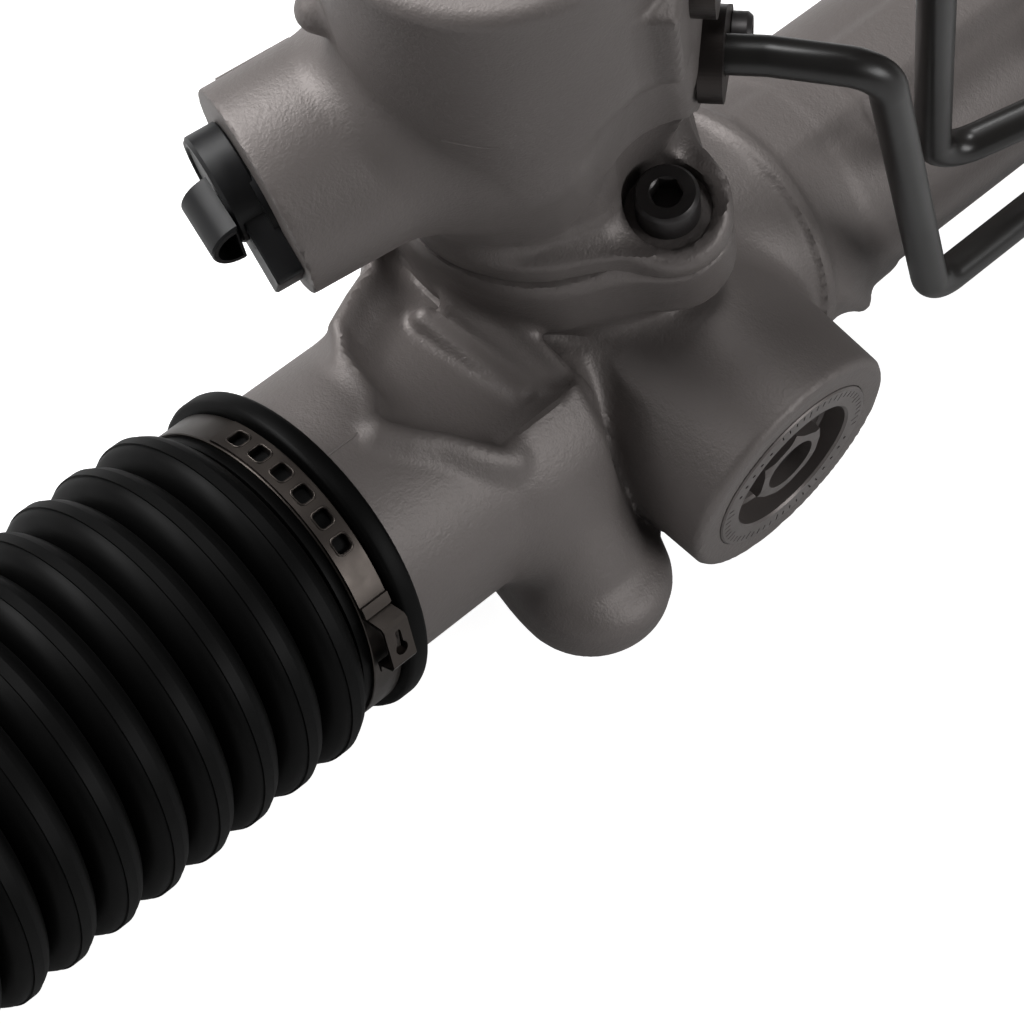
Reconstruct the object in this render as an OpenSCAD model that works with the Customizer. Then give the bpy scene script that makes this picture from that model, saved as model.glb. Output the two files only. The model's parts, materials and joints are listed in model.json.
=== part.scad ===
// Hydraulic rack and pinion steering gear with rotary valve, solenoid valve and bellows.
// X runs along the rack, Z is up, the yoke plug faces -Y. The origin is on the rack axis
// straight under the yoke and pinion crossing.

/* [Rack] */
// Radius of the round rack bar
rack_r = 14; // [12:0.5:15]
// Rack travel from centre to each lock
travel = 72; // [40:1:74]
// Tooth module, square to the teeth
tooth_module = 2.2; // [1.8:0.05:2.3]
// Number of pinion teeth
pinion_teeth = 8; // [7:1:9]
// Lean of the pinion axis away from square to the rack
lean = 17; // [0:1:22]
// Height of the rack's tooth reference line over the rack axis
tooth_line = 7.4; // [6:0.1:9]
// Thickness taken off each tooth so that the mesh runs free
backlash = 0.12; // [0.08:0.01:0.3]

/* [Rack housing] */
// Outer radius of the left neck, where the boot seats
neck_r = 31.5; // [29:0.5:36]
// Outer radius of the power cylinder tube
tube_r = 28.5; // [27:0.5:32]
// Left end of the housing
neck_end = -108.5; // [-130:0.5:-95]
// Right end of the housing
tube_end = 336; // [325:1:380]
// Radius of the plain bore round the rack
rack_bore_r = 17; // [16:0.5:20]
// Radius of the power cylinder bore
cylinder_r = 22; // [20:0.5:24]
// Where the cylinder bore starts
cylinder_start = 94; // [80:1:100]
// Radius of the recess in each housing end that the ball socket enters
end_recess_r = 23; // [21:0.5:26]
// Depth of the recess in each housing end
end_recess_depth = 18; // [10:1:24]

/* [Yoke] */
// Outer radius of the yoke boss
yoke_boss_r = 28; // [25:0.5:32]
// Distance from the rack axis to the face of the yoke boss
yoke_boss_reach = 52; // [46:0.5:60]
// Radius of the yoke
yoke_r = 17; // [15:0.5:18]
// Thread radius of the adjusting plug
plug_r = 21.5; // [19:0.5:23]
// Length of the adjusting plug's thread
plug_depth = 12; // [10:0.5:14]
// Gap that the plug leaves behind the yoke
yoke_gap = 0.4; // [0.2:0.05:1]

/* [Valve tower] */
// Height of the joint between the two housings, along the pinion axis
joint_h = 50; // [48:1:60]
// Radius of the joint flange
flange_r = 29.5; // [27:0.5:34]
// Height at which the wide barrel starts
barrel_h = 72; // [68:1:80]
// Height of the barrel's top rim
tower_top = 166; // [162:1:180]
// Outer radius of the barrel
barrel_r = 34.5; // [31:0.5:38]
// Radius of the valve bore
valve_bore_r = 19; // [17:0.5:20]
// Distance of the joint screws from the pinion axis
screw_ring = 30.5; // [28:0.1:33]
// Angle of the joint screw that faces the yoke
screw_turn = -76; // [-90:1:-60]
// Thread radius of the joint screws
screw_r = 4; // [3:0.5:5]

/* [Solenoid valve] */
// Height of the solenoid boss on the pinion axis
solenoid_h = 97; // [92:1:105]
// Angle of the solenoid boss about the pinion axis
solenoid_turn = 166; // [150:1:190]
// Radius of the solenoid boss
solenoid_boss_r = 22; // [20:0.5:25]
// Distance from the pinion axis to the boss face
solenoid_reach = 58; // [50:1:64]
// Radius of the solenoid's bore
solenoid_bore_r = 11; // [9:0.5:12]

/* [Hydraulic lines] */
// Outer radius of the steel lines
line_r = 4; // [3:0.25:5]
// Bend radius of the lines' centre
line_bend = 13; // [11:0.5:16]
// Angle of the line port face about the pinion axis
port_turn = -50; // [-60:1:-40]
// Distance from the pinion axis to the line port face
port_reach = 34.6; // [34.6:0.1:38]
// Height of the lower line port
port_low_h = 96; // [92:1:100]
// Height of the upper line port
port_high_h = 129; // [126:1:134]
// Thickness of the clamp plates
plate_t = 4.8; // [4:0.2:8]

/* [Boots] */
// Radius of the boot's crests
crest_r = 38.3; // [36:0.5:44]
// Radius of the boot's valleys
valley_r = 30; // [26:0.5:32]
// Distance between crests
crest_pitch = 11.6; // [11:0.1:13]
// Number of crests
crests = 13; // [10:1:14]
// Radius of the boot's lip
lip_r = 36.8; // [35:0.1:40]
// Width of the boot's lip
lip_w = 5; // [4:0.5:8]
// Width of the seat of the boot's clamp
seat_w = 8.5; // [7:0.5:10]
// Rubber thickness
rubber_t = 2; // [1.5:0.1:2.5]

/* [Inner ball joints] */
// Radius of the tie rod's ball
ball_r = 13; // [12:0.25:13.5]
// Thickness of the ball's plastic seat
seat_t = 1.95; // [1.5:0.05:2.2]
// Radius of the ball socket
socket_r = 19; // [18:0.5:20]
// Radius of the tie rod
rod_r = 7.5; // [7:0.25:8]
// Thread radius at the tie rod's end
rod_thread_r = 7; // [6:0.25:7]
// Length of the tie rod's thread
rod_thread_length = 62; // [40:1:80]
// Distance from the ball's centre to the tie rod's end
rod_length = 290; // [240:5:330]

/* [Fits] */
// Radial clearance of running fits
running = 0.05; // [0.02:0.01:0.08]
// Gap between fitted pieces that don't move on each other
seat_gap = 0.05; // [0.02:0.01:0.1]
// Gap between curved faces that pass each other
pass_gap = 0.3; // [0.2:0.05:0.5]

/* [Hidden] */
$fn = 72;

cast_col = "#6e6866";
steel_col = "#8d8f92";
black_col = "#2b2b2c";
rubber_col = "#1f1f20";
plastic_col = "#242528";
bright_col = "#c9cbcc";
seat_col = "#e8e4d8";

eps = 0.01;
pressure_angle = 20;
// Pinion geometry; the profile shift keeps so few teeth from being undercut
pitch_r = tooth_module * pinion_teeth / 2;
profile_shift = 0.55;
base_r = pitch_r * cos(pressure_angle);
pinion_tip_r = pitch_r + 1.23 * tooth_module;
pinion_root_r = pitch_r - 0.70 * tooth_module;
pinion_y = tooth_line + pitch_r + profile_shift * tooth_module;
tooth_pitch = PI * tooth_module;
tooth_half_face = 19;
rack_tooth_count = 2 * ceil((travel * cos(lean) + 2 * tooth_pitch) / tooth_pitch) + 1;
rack_tooth_half = rack_tooth_count * tooth_pitch / 2;
tooth_cut_half = rack_tooth_half * tan(lean) + 2 * rack_r;

// Pinion shaft heights along its own axis
lower_journal_r = 8;
needle_r = lower_journal_r + 4;
pinion_bottom = -36;
boss_bottom = -46;
bearing_h = 24;
bearing_w = 12;
bearing_bore_r = 10;
bearing_out_r = 22;
shaft_r = 12;
collar_h = joint_h + 14;
collar_t = 5;
sleeve_h = collar_h + collar_t;
sleeve_top = tower_top - 26;
rotor_r = 11;
rotor_h = sleeve_h + 10;
bore_top = tower_top - 20;
input_neck_r = 9.5;
input_bore_r = 13.5;
serration_r = 8.7;
// Bottom of the line pad, and the scoop in the barrel that lets a key reach the joint screw
pad_bottom = port_low_h - 12;
scoop_r = 20;
scoop_ring = barrel_r + 9.5;
scoop_h = 31;
// Heights of the two hose ports, on the side away from the yoke
hose_port_h = [90, 124];
// Solenoid cap: off the bore's centre, with a fixing ear and a plug socket
cap_place = [-1.5, -4];
cap_r = 11.4;
cap_t = 7;
ear_turn = 69;
socket_shell_r = 6.4;
plunger_bore_r = 4.2;
input_top = tower_top + 42;
bar_end_r = 4.2;
bar_r = 3.2;
bar_bottom = joint_h - 2;
bar_top = input_top - 16;
pin_r = 1.5;
lower_pin_h = collar_h - 6;
upper_pin_h = bar_top - 6;
boss_r = bearing_out_r + 6;
spigot_h = bearing_h + bearing_w + pass_gap;

// Rack, cylinder and ball joint places along X
left_stop = neck_end + end_recess_depth;
right_stop = tube_end - end_recess_depth;
stop_gap = 1;
rack_left = left_stop - travel - stop_gap;
rack_right = right_stop + travel + stop_gap;
bush_w = 16;
seal_w = 5;
retainer_w = 2;
retainer_r = cylinder_r + 1.7;
cylinder_left = cylinder_start + bush_w + seal_w;
cylinder_right = right_stop - 2 * retainer_w - bush_w - seal_w;
piston_x = (cylinder_left + cylinder_right) / 2;
piston_w = 20;
socket_length = 26.5;
ball_offset = 18;
ball_left = rack_left - ball_offset;
ball_right = rack_right + ball_offset;
socket_cavity_r = ball_r + 2 * running + seat_t;
stud_r = 7;
// The thread's run-out under the jam nut, and the free thread past it
thread_runout_r = rod_thread_r - 0.25;
free_thread = 46;
stud_length = 20;
neck_rod_r = 6;

// Boot places, measured outwards from a boot's inner edge
boot_seat = 17;
clamp_start = lip_w + 0.5;
clamp_centre = lip_w + seat_w / 2;
clamp_seat_r = neck_r + rubber_t + 0.3;
bead_t = 0.8;
fold_start = lip_w + seat_w + 2;
fold_end = fold_start + crests * crest_pitch;
small_end = fold_end + 24;
small_r = rod_r + pass_gap;
clamp_t = 0.9;
clamp_ear_turn = 154;

// Yoke places along -Y
yoke_front = rack_r + 1.5;
yoke_back = yoke_boss_reach - plug_depth - yoke_gap;
plug_recess_r = 16;
plug_recess_depth = 4;

// Mounting lugs: bolt centre in the XY plane, and heights
lug_bolt_r = 5.1;
lug_bolt_depth = 24;
lug_bottom = -30;
left_lug = [-39, -35];
right_lug = [228, -43];
lug_r = 17;
// Height of each lug where it joins the housing; the right one passes under a line
left_lug_top = 18;
right_lug_top = -4;

// Pocket between the neck and the pinion boss, seen from above, and its rim
pocket = [[-72, -3], [-62, -10], [-55, -17], [-45, -22], [-33, -22], [-36, -8], [-41, 6], [-44, 30],
          [-49, 25.5], [-57, 22.5], [-64, 20.5], [-68.5, 15], [-71, 5]];
pocket_rim = [[-74.5, -3], [-60, -10], [-30, -10], [-30, 36], [-46, 33], [-50.5, 28], [-58, 25],
              [-65.5, 23], [-71, 16], [-73.5, 5]];
pocket_floor = 20;
rim_top = 29;

// Line routes: run offsets from the rack axis, and cylinder port places
outer_run = [-41, 3];
inner_run = [-27.5, 28];
inner_port_x = cylinder_left + 7;
outer_port_x = cylinder_right - 7;
port_boss_reach = tube_r + 7;
nut_length = 13;
line_leg = 29;
// A bend is drawn this much thinner than the legs, which reach this far into it
bend_step = 0.05;
leg_lap = 0.2;

function unit(v) = v / norm(v);
function polar(r, a) = [r * cos(a), r * sin(a)];
// Point at height h on the pinion frame, in the part's own frame
function from_pinion(p) = [p[0] * cos(lean) - p[2] * sin(lean), p[1] + pinion_y,
                           p[0] * sin(lean) + p[2] * cos(lean)];

module at_pinion() {
    translate([0, pinion_y, 0]) rotate([0, -lean, 0]) children();
}

module at_solenoid() {
    at_pinion() translate([0, 0, solenoid_h]) rotate([0, 0, solenoid_turn]) rotate([0, 90, 0]) children();
}

module at_port(h) {
    at_pinion() translate([0, 0, h]) rotate([0, 0, port_turn]) rotate([0, 90, 0]) children();
}

module along_x(x0, x1, r0, r1) {
    translate([x0, 0, 0]) rotate([0, 90, 0]) cylinder(h = x1 - x0, r1 = r0, r2 = r1);
}

module along_y(y0, y1, r) {
    translate([0, y0, 0]) rotate([-90, 0, 0]) cylinder(h = y1 - y0, r = r);
}

module ring(r_in, r_out, h) {
    difference() {
        cylinder(r = r_out, h = h);
        translate([0, 0, -eps]) cylinder(r = r_in, h = h + 2 * eps);
    }
}

module round_ring(r_mid, r_wire) {
    rotate_extrude() translate([r_mid, 0]) circle(r = r_wire, $fn = 24);
}

module between(a, b) {
    v = b - a;
    translate(a) rotate([0, acos(v[2] / norm(v)), atan2(v[1], v[0])]) children();
}

module straight(a, b, r) {
    between(a, b) cylinder(r = r, h = norm(b - a));
}

// One bend of a pipe at point p, between the directions u and w
module bend(p, u, w, bend_r, r) {
    turn = acos(u * w);
    back = bend_r * tan(turn / 2);
    n = unit(w - (w * u) * u);
    c = p - u * back + n * bend_r;
    z = cross(-n, u);
    multmatrix([[-n[0], u[0], z[0], c[0]], [-n[1], u[1], z[1], c[1]], [-n[2], u[2], z[2], c[2]]])
        rotate_extrude(angle = turn) translate([bend_r, 0]) circle(r = r - bend_step);
}

function bend_back(a, p, b, bend_r) =
    bend_r * tan(acos(unit(p - a) * unit(b - p)) / 2);

// A pipe along straight legs with round bends
module bent_pipe(path, bend_r, r) {
    last = len(path) - 1;
    for (i = [0 : last - 1]) {
        u = unit(path[i + 1] - path[i]);
        trim0 = i == 0 ? 0 : bend_back(path[i - 1], path[i], path[i + 1], bend_r);
        trim1 = i == last - 1 ? 0 : bend_back(path[i], path[i + 1], path[i + 2], bend_r);
        straight(path[i] + u * (trim0 - leg_lap), path[i + 1] - u * (trim1 - leg_lap), r);
        if (i < last - 1) bend(path[i + 1], u, unit(path[i + 2] - path[i + 1]), bend_r, r);
    }
}

// A round wire spring along Z, closed by flat end rings
module coil_spring(r_mid, r_wire, length, turns) {
    sides = 8;
    per_turn = 20;
    n = turns * per_turn;
    rise = length - 2 * r_wire;
    points = [for (i = [0 : n]) for (k = [0 : sides - 1])
        let (a = 360 * i / per_turn, z = r_wire + rise * i / n, b = 360 * k / sides,
             r = r_mid + r_wire * cos(b))
        [r * cos(a), r * sin(a), z + r_wire * sin(b)]];
    skins = [for (i = [0 : n - 1]) for (k = [0 : sides - 1])
        let (a = i * sides + k, b = i * sides + (k + 1) % sides)
        [a, a + sides, b + sides, b]];
    ends = [[for (k = [0 : sides - 1]) k], [for (k = [sides - 1 : -1 : 0]) n * sides + k]];
    polyhedron(points, concat(skins, ends), convexity = 6);
}

module joint_screw_places() {
    for (a = [screw_turn, screw_turn + 180]) rotate([0, 0, a]) translate([screw_ring, 0, 0]) children();
}

module joint_outline() {
    circle(r = flange_r);
    for (a = [screw_turn, screw_turn + 180])
        hull() {
            rotate(a) translate([screw_ring, 0]) circle(r = screw_r + 9);
            rotate(a) translate([screw_ring / 2, 0]) circle(r = screw_r + 11);
        }
}

module rack_tooth_spaces() {
    half = tooth_pitch / 4;
    slope = tan(pressure_angle);
    tip = tooth_module;
    root = 1.25 * tooth_module;
    rotate([0, -lean, 0]) linear_extrude(height = 2 * tooth_cut_half, center = true)
        difference() {
            translate([-rack_tooth_half, tooth_line - root]) square([2 * rack_tooth_half, 2 * rack_r]);
            for (i = [0 : rack_tooth_count]) {
                q = (i - rack_tooth_count / 2) * tooth_pitch;
                polygon([[q - half + backlash / 2 - root * slope, tooth_line - root - eps],
                         [q + half - backlash / 2 + root * slope, tooth_line - root - eps],
                         [q + half - backlash / 2 - tip * slope, tooth_line + tip],
                         [q - half + backlash / 2 + tip * slope, tooth_line + tip]]);
            }
        }
}

function involute(t) = base_r * [cos(t) + t * PI / 180 * sin(t), sin(t) - t * PI / 180 * cos(t)];
function involute_angle(r) = let (c = base_r / r) tan(acos(c)) * 180 / PI - acos(c);

module pinion_profile() {
    half_thick = (tooth_pitch / 2 + 2 * profile_shift * tooth_module * tan(pressure_angle) - backlash) / 2;
    centre = half_thick / pitch_r * 180 / PI + involute_angle(pitch_r);
    steps = 7;
    roll_end = sqrt(pow(pinion_tip_r / base_r, 2) - 1) * 180 / PI;
    flank = [for (i = [0 : steps]) involute(roll_end * i / steps)];
    circle(r = pinion_root_r + 0.05);
    for (k = [0 : pinion_teeth - 1]) rotate(k * 360 / pinion_teeth - 90)
        polygon(concat([[pinion_root_r * 0.8, -1.2], [pinion_root_r, -pinion_root_r * sin(centre)]],
                       [for (p = flank) [p[0] * cos(centre) + p[1] * sin(centre),
                                         p[1] * cos(centre) - p[0] * sin(centre)]],
                       [for (i = [steps : -1 : 0]) let (p = flank[i])
                           [p[0] * cos(centre) + p[1] * sin(centre),
                            p[0] * sin(centre) - p[1] * cos(centre)]],
                       [[pinion_root_r, pinion_root_r * sin(centre)], [pinion_root_r * 0.8, 1.2]]));
}

// Lug round a mounting bolt, whose front slopes back and up to the housing's side
module mounting_lug(place, top, root_r) {
    hull() {
        translate([place[0], place[1], lug_bottom]) cylinder(r = lug_r - 2, h = 3, $fn = 32);
        translate([place[0], place[1], lug_bottom + 3]) cylinder(r = lug_r, h = 13, $fn = 32);
        translate([place[0] - 3, place[1] + 27, lug_bottom + 4])
            cylinder(r = root_r, h = top - lug_bottom - 6, $fn = 32);
        translate([place[0] - 3, place[1] + 27, top - 3]) cylinder(r1 = root_r, r2 = root_r - 2, h = 3, $fn = 32);
    }
}

// Raised rim of the pocket, and the pocket cut into it and the neck
module pocket_body() {
    difference() {
        union() {
            along_x(neck_end, -30, neck_r, neck_r);
            along_x(-62, -38, neck_r, neck_r + 3);
            along_x(-38, 34, neck_r + 3, neck_r + 1);
            linear_extrude(height = rim_top) polygon(pocket_rim);
        }
        translate([0, 0, pocket_floor]) linear_extrude(height = 40) polygon(pocket);
    }
}

module tube_port_boss(x, run) {
    d = unit([0, run[0], run[1]]);
    straight([x, 0, 0] + d * (cylinder_r + 2), [x, 0, 0] + d * port_boss_reach, 9.5);
}

module tube_port_cut(x, run) {
    d = unit([0, run[0], run[1]]);
    straight([x, 0, 0] + d * (cylinder_r - 2), [x, 0, 0] + d * (port_boss_reach + 1), 2);
    straight([x, 0, 0] + d * (port_boss_reach - 8), [x, 0, 0] + d * (port_boss_reach + 1), 6);
}

module rack_housing() {
    color(cast_col) difference() {
        union() {
            pocket_body();
            along_x(34, 60, neck_r + 1, tube_r);
            along_x(59, tube_end, tube_r, tube_r);
            along_x(tube_end - boot_seat - 8, tube_end - boot_seat, tube_r, neck_r);
            along_x(tube_end - boot_seat, tube_end, neck_r, neck_r);
            along_y(-yoke_boss_reach + 1.5, 0, yoke_boss_r);
            translate([0, -yoke_boss_reach, 0]) rotate([-90, 0, 0])
                cylinder(h = 1.5, r1 = yoke_boss_r - 1.5, r2 = yoke_boss_r);
            at_pinion() translate([0, 0, boss_bottom]) cylinder(r = needle_r + 7, h = 40);
            at_pinion() translate([0, 0, -12]) cylinder(r = boss_r, h = joint_h + 12);
            at_pinion() translate([0, 0, joint_h - 20]) linear_extrude(height = 20) joint_outline();
            mounting_lug(left_lug, left_lug_top, lug_r - 3);
            mounting_lug(right_lug, right_lug_top, lug_r - 1);
            for (i = [0, 1]) hull() {
                translate([-48 + 7 * i, 14 - 5 * i, 29 + 4 * i]) sphere(r = 3, $fn = 16);
                translate([-42 + 6 * i, -7 - 3 * i, 19 + 2 * i]) sphere(r = 3, $fn = 16);
                translate([-34, 8, 14]) sphere(r = 3, $fn = 16);
            }
            translate([78, 0, tube_r - 3]) cube([96, 16, 7], center = true);
            tube_port_boss(inner_port_x, inner_run);
            tube_port_boss(outer_port_x, outer_run);
        }
        along_x(neck_end - 1, cylinder_start + 1, rack_bore_r, rack_bore_r);
        along_x(neck_end - 1, left_stop, end_recess_r, end_recess_r);
        along_x(cylinder_start, tube_end, cylinder_r, cylinder_r);
        along_x(right_stop, tube_end + 1, end_recess_r, end_recess_r);
        along_x(right_stop - 2 * retainer_w, right_stop - retainer_w, retainer_r, retainer_r);
        for (x = [neck_end + boot_seat - clamp_centre, tube_end - boot_seat + clamp_centre])
            translate([x - 2.5, 0, 0]) rotate([0, 90, 0]) ring(neck_r - 1, neck_r + 2, 5);
        along_y(-yoke_boss_reach - 1, 0, yoke_r + running);
        along_y(-yoke_boss_reach - 1, -yoke_back - yoke_gap, plug_r);
        at_pinion() {
            translate([0, 0, boss_bottom - 1]) cylinder(r = needle_r, h = 40);
            translate([0, 0, pinion_bottom + 12]) cylinder(r = pinion_tip_r + 1.5, h = 60);
            translate([0, 0, bearing_h]) cylinder(r = bearing_out_r, h = 40);
            joint_screw_places() translate([0, 0, joint_h - 17]) cylinder(r = screw_r, h = 20);
        }
        for (p = [left_lug, right_lug]) translate([p[0], p[1], lug_bottom - 1])
            cylinder(r = lug_bolt_r, h = lug_bolt_depth + 1);
        tube_port_cut(inner_port_x, inner_run);
        tube_port_cut(outer_port_x, outer_run);
    }
}

module port_pad_outline() {
    circle(r = barrel_r);
    rotate(port_turn) translate([0, -21]) square([port_reach, 42]);
}

module valve_housing() {
    color(cast_col) difference() {
        union() {
            at_pinion() {
                translate([0, 0, spigot_h]) cylinder(r = bearing_out_r - seat_gap, h = 20);
                translate([0, 0, joint_h]) linear_extrude(height = 9) joint_outline();
                translate([0, 0, joint_h + 8])
                    cylinder(h = barrel_h - joint_h - 8, r1 = flange_r - 5, r2 = flange_r - 2);
                translate([0, 0, barrel_h - 4]) cylinder(h = 4, r1 = flange_r - 4, r2 = barrel_r - 2);
                translate([0, 0, barrel_h]) cylinder(h = tower_top - barrel_h - 2, r1 = barrel_r, r2 = barrel_r - 1);
                translate([0, 0, pad_bottom]) linear_extrude(height = port_high_h + 16 - pad_bottom)
                    port_pad_outline();
                translate([0, 0, tower_top - 2]) cylinder(h = 2, r1 = barrel_r - 1, r2 = barrel_r - 3);
                translate([0, 0, tower_top]) cylinder(h = 4, r = input_bore_r + 6);
                for (h = hose_port_h) translate([0, 0, h]) rotate([-90, 0, 0]) cylinder(r = 12, h = 40);
            }
            at_solenoid() {
                cylinder(r = solenoid_boss_r, h = solenoid_reach - 1);
                translate([0, 0, solenoid_reach - 1])
                    cylinder(r1 = solenoid_boss_r, r2 = solenoid_boss_r - 1, h = 1);
            }
        }
        at_pinion() {
            translate([0, 0, spigot_h - 1]) cylinder(r = valve_bore_r, h = bore_top - spigot_h + 1);
            translate([0, 0, bore_top - 1]) cylinder(r = input_bore_r, h = 40);
            translate([0, 0, joint_h - 5 - pass_gap]) ring(bearing_out_r - 2.4, bearing_out_r + 2, 3.4);
            joint_screw_places() {
                translate([0, 0, joint_h - 1]) cylinder(r = screw_r + 0.4, h = 20);
                translate([0, 0, joint_h + 5]) cylinder(r = screw_r + 4.9, h = 30);
            }
            rotate([0, 0, screw_turn - 12]) translate([scoop_ring, 0, joint_h + 10]) {
                cylinder(r = scoop_r, h = scoop_h);
                translate([0, 0, scoop_h]) sphere(r = scoop_r);
            }
            for (h = hose_port_h) translate([0, 0, h]) rotate([-90, 0, 0]) {
                translate([0, 0, 26]) cylinder(r = 7.2, h = 20);
                cylinder(r = 3, h = 30);
            }
        }
        for (h = [port_low_h, port_high_h]) at_port(h) {
            cylinder(r = 2.5, h = 40);
            translate([0, 0, port_reach - 8]) cylinder(r = line_r + 1.5, h = 10);
            translate([9, 9, port_reach - 11]) cylinder(r = 2.5, h = 12);
        }
        at_solenoid() {
            cylinder(r = 3, h = 40);
            translate([0, 0, 26]) cylinder(r = solenoid_bore_r, h = 40);
        }
    }
}

module housing_screws() {
    color(black_col) at_pinion() joint_screw_places() {
        translate([0, 0, joint_h - 14]) cylinder(r = screw_r - 0.1, h = 19.5);
        difference() {
            translate([0, 0, joint_h + 5]) cylinder(r = screw_r + 2.5, h = 8);
            translate([0, 0, joint_h + 9]) cylinder(r = 3.46, h = 5, $fn = 6);
        }
    }
}

module joint_oring() {
    color(rubber_col) at_pinion() translate([0, 0, joint_h - 3.6]) round_ring(bearing_out_r - 1.2, 1.1);
}

module rack_yoke() {
    color(steel_col) difference() {
        along_y(-yoke_back, -2, yoke_r);
        along_x(-30, 30, yoke_front, yoke_front);
        along_y(-yoke_back - 1, -yoke_back + 9, 11);
        translate([-30, -9, -30]) cube([60, 20, 60]);
    }
}

module yoke_liner() {
    color(seat_col) intersection() {
        along_y(-yoke_back, -9.3, yoke_r - 1);
        rotate([0, 90, 0]) translate([0, 0, -13]) ring(rack_r + running, yoke_front - seat_gap, 26);
    }
}

module yoke_spring() {
    color(steel_col) translate([0, -yoke_back - yoke_gap - 1.6, 0]) rotate([-90, 0, 0])
        translate([0, 0, 0.2]) coil_spring(8, 1.4, 9 + 1.6 + yoke_gap - 0.6, 3);
}

module yoke_oring() {
    color(rubber_col) translate([0, -yoke_boss_reach + 9, 0]) rotate([90, 0, 0]) round_ring(plug_r - 1.25, 1.1);
}

module yoke_plug() {
    color(steel_col) difference() {
        along_y(-yoke_boss_reach - 0.4, -yoke_back - yoke_gap, plug_r - seat_gap);
        difference() {
            along_y(-yoke_boss_reach - 1, -yoke_boss_reach + plug_recess_depth, plug_recess_r);
            rotate([90, 0, 0]) translate([0, 0, yoke_boss_reach - plug_recess_depth - 1])
                cylinder(r = 9.5, h = plug_recess_depth, $fn = 6);
        }
        along_y(-yoke_boss_reach - 1, -yoke_boss_reach + 7, 5.2);
        along_y(-yoke_back - yoke_gap - 1.8, 0, 10);
        translate([0, -yoke_boss_reach + 9, 0]) rotate([90, 0, 0])
            rotate_extrude() translate([plug_r - 2.45, -1.4]) square([4, 2.8]);
        for (i = [0 : 23]) rotate([0, i * 15, 0])
            translate([plug_recess_r + 2.4, -yoke_boss_reach - 0.4, 0])
                cube([i % 3 == 0 ? 2.6 : 1.6, 0.6, 0.4], center = true);
    }
}

module yoke_set_screw() {
    color(black_col) difference() {
        along_y(-yoke_boss_reach + 1.2, -yoke_boss_reach + 7, 5.1);
        rotate([90, 0, 0]) translate([0, 0, yoke_boss_reach - 4]) cylinder(r = 2.9, h = 5, $fn = 6);
    }
}

module lower_bearing() {
    color(steel_col) at_pinion() translate([0, 0, pinion_bottom + 1])
        ring(lower_journal_r + running, needle_r - seat_gap, 11);
}

module pinion_end_cap() {
    color(steel_col) at_pinion() translate([0, 0, boss_bottom]) {
        difference() {
            cylinder(r = needle_r - seat_gap, h = 5);
            translate([0, 0, -1]) cylinder(r = needle_r - 3, h = 3);
        }
    }
}

module bearing_outer_ring() {
    color(steel_col) at_pinion() translate([0, 0, bearing_h]) difference() {
        ring(bearing_out_r - 4, bearing_out_r - seat_gap, bearing_w);
        translate([0, 0, bearing_w / 2]) round_ring(bearing_bore_r + 5.6, 2.95);
    }
}

module bearing_balls() {
    color(bright_col) at_pinion() translate([0, 0, bearing_h + bearing_w / 2])
        for (i = [0 : 9]) rotate([0, 0, i * 36]) translate([bearing_bore_r + 5.6, 0, 0]) sphere(r = 2.75, $fn = 24);
}

module bearing_inner_ring() {
    color(steel_col) at_pinion() translate([0, 0, bearing_h]) difference() {
        ring(bearing_bore_r + seat_gap, bearing_bore_r + 3.4, bearing_w);
        translate([0, 0, bearing_w / 2]) round_ring(bearing_bore_r + 5.6, 2.95);
    }
}

module pinion_seal() {
    color(rubber_col) at_pinion() translate([0, 0, spigot_h + 6])
        ring(shaft_r + running, valve_bore_r - seat_gap, 7);
}

module pinion_shaft() {
    color(steel_col) at_pinion() difference() {
        union() {
            translate([0, 0, pinion_bottom]) cylinder(r = lower_journal_r, h = 20);
            translate([0, 0, -tooth_half_face]) linear_extrude(height = 2 * tooth_half_face) pinion_profile();
            translate([0, 0, tooth_half_face - 1]) cylinder(r = pinion_tip_r + 0.3, h = bearing_h - tooth_half_face + 1);
            translate([0, 0, bearing_h - 1]) cylinder(r = bearing_bore_r, h = bearing_w + 2);
            translate([0, 0, bearing_h + bearing_w]) cylinder(r = shaft_r, h = collar_h - bearing_h - bearing_w);
            translate([0, 0, collar_h]) cylinder(r = valve_bore_r - 3, h = collar_t);
            translate([0, 0, sleeve_h - eps]) cylinder(r = rotor_r, h = 7);
        }
        translate([0, 0, bar_bottom]) cylinder(r = bar_end_r + seat_gap, h = 60);
        translate([0, 0, lower_pin_h]) rotate([0, 90, 0]) cylinder(r = pin_r + seat_gap, h = 60, center = true);
    }
}

module sleeve_ring_places() {
    for (i = [0 : 3]) translate([0, 0, sleeve_h + 8 + i * (sleeve_top - sleeve_h - 20) / 3]) children();
}

module valve_sleeve() {
    color(steel_col) at_pinion() difference() {
        translate([0, 0, sleeve_h]) ring(rotor_r + running, valve_bore_r - 0.5, sleeve_top - sleeve_h);
        sleeve_ring_places() ring(valve_bore_r - 2.2, valve_bore_r + 1, 3);
        for (i = [0 : 2]) for (a = [0 : 5])
            translate([0, 0, sleeve_h + 14.5 + i * (sleeve_top - sleeve_h - 20) / 3])
                rotate([0, 0, a * 60 + i * 20]) rotate([0, 90, 0]) cylinder(r = 1.6, h = 40, $fn = 16);
    }
}

module sleeve_rings() {
    color(seat_col) at_pinion() sleeve_ring_places() translate([0, 0, 0.1])
        ring(valve_bore_r - 2.15, valve_bore_r - running, 2.8);
}

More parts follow.
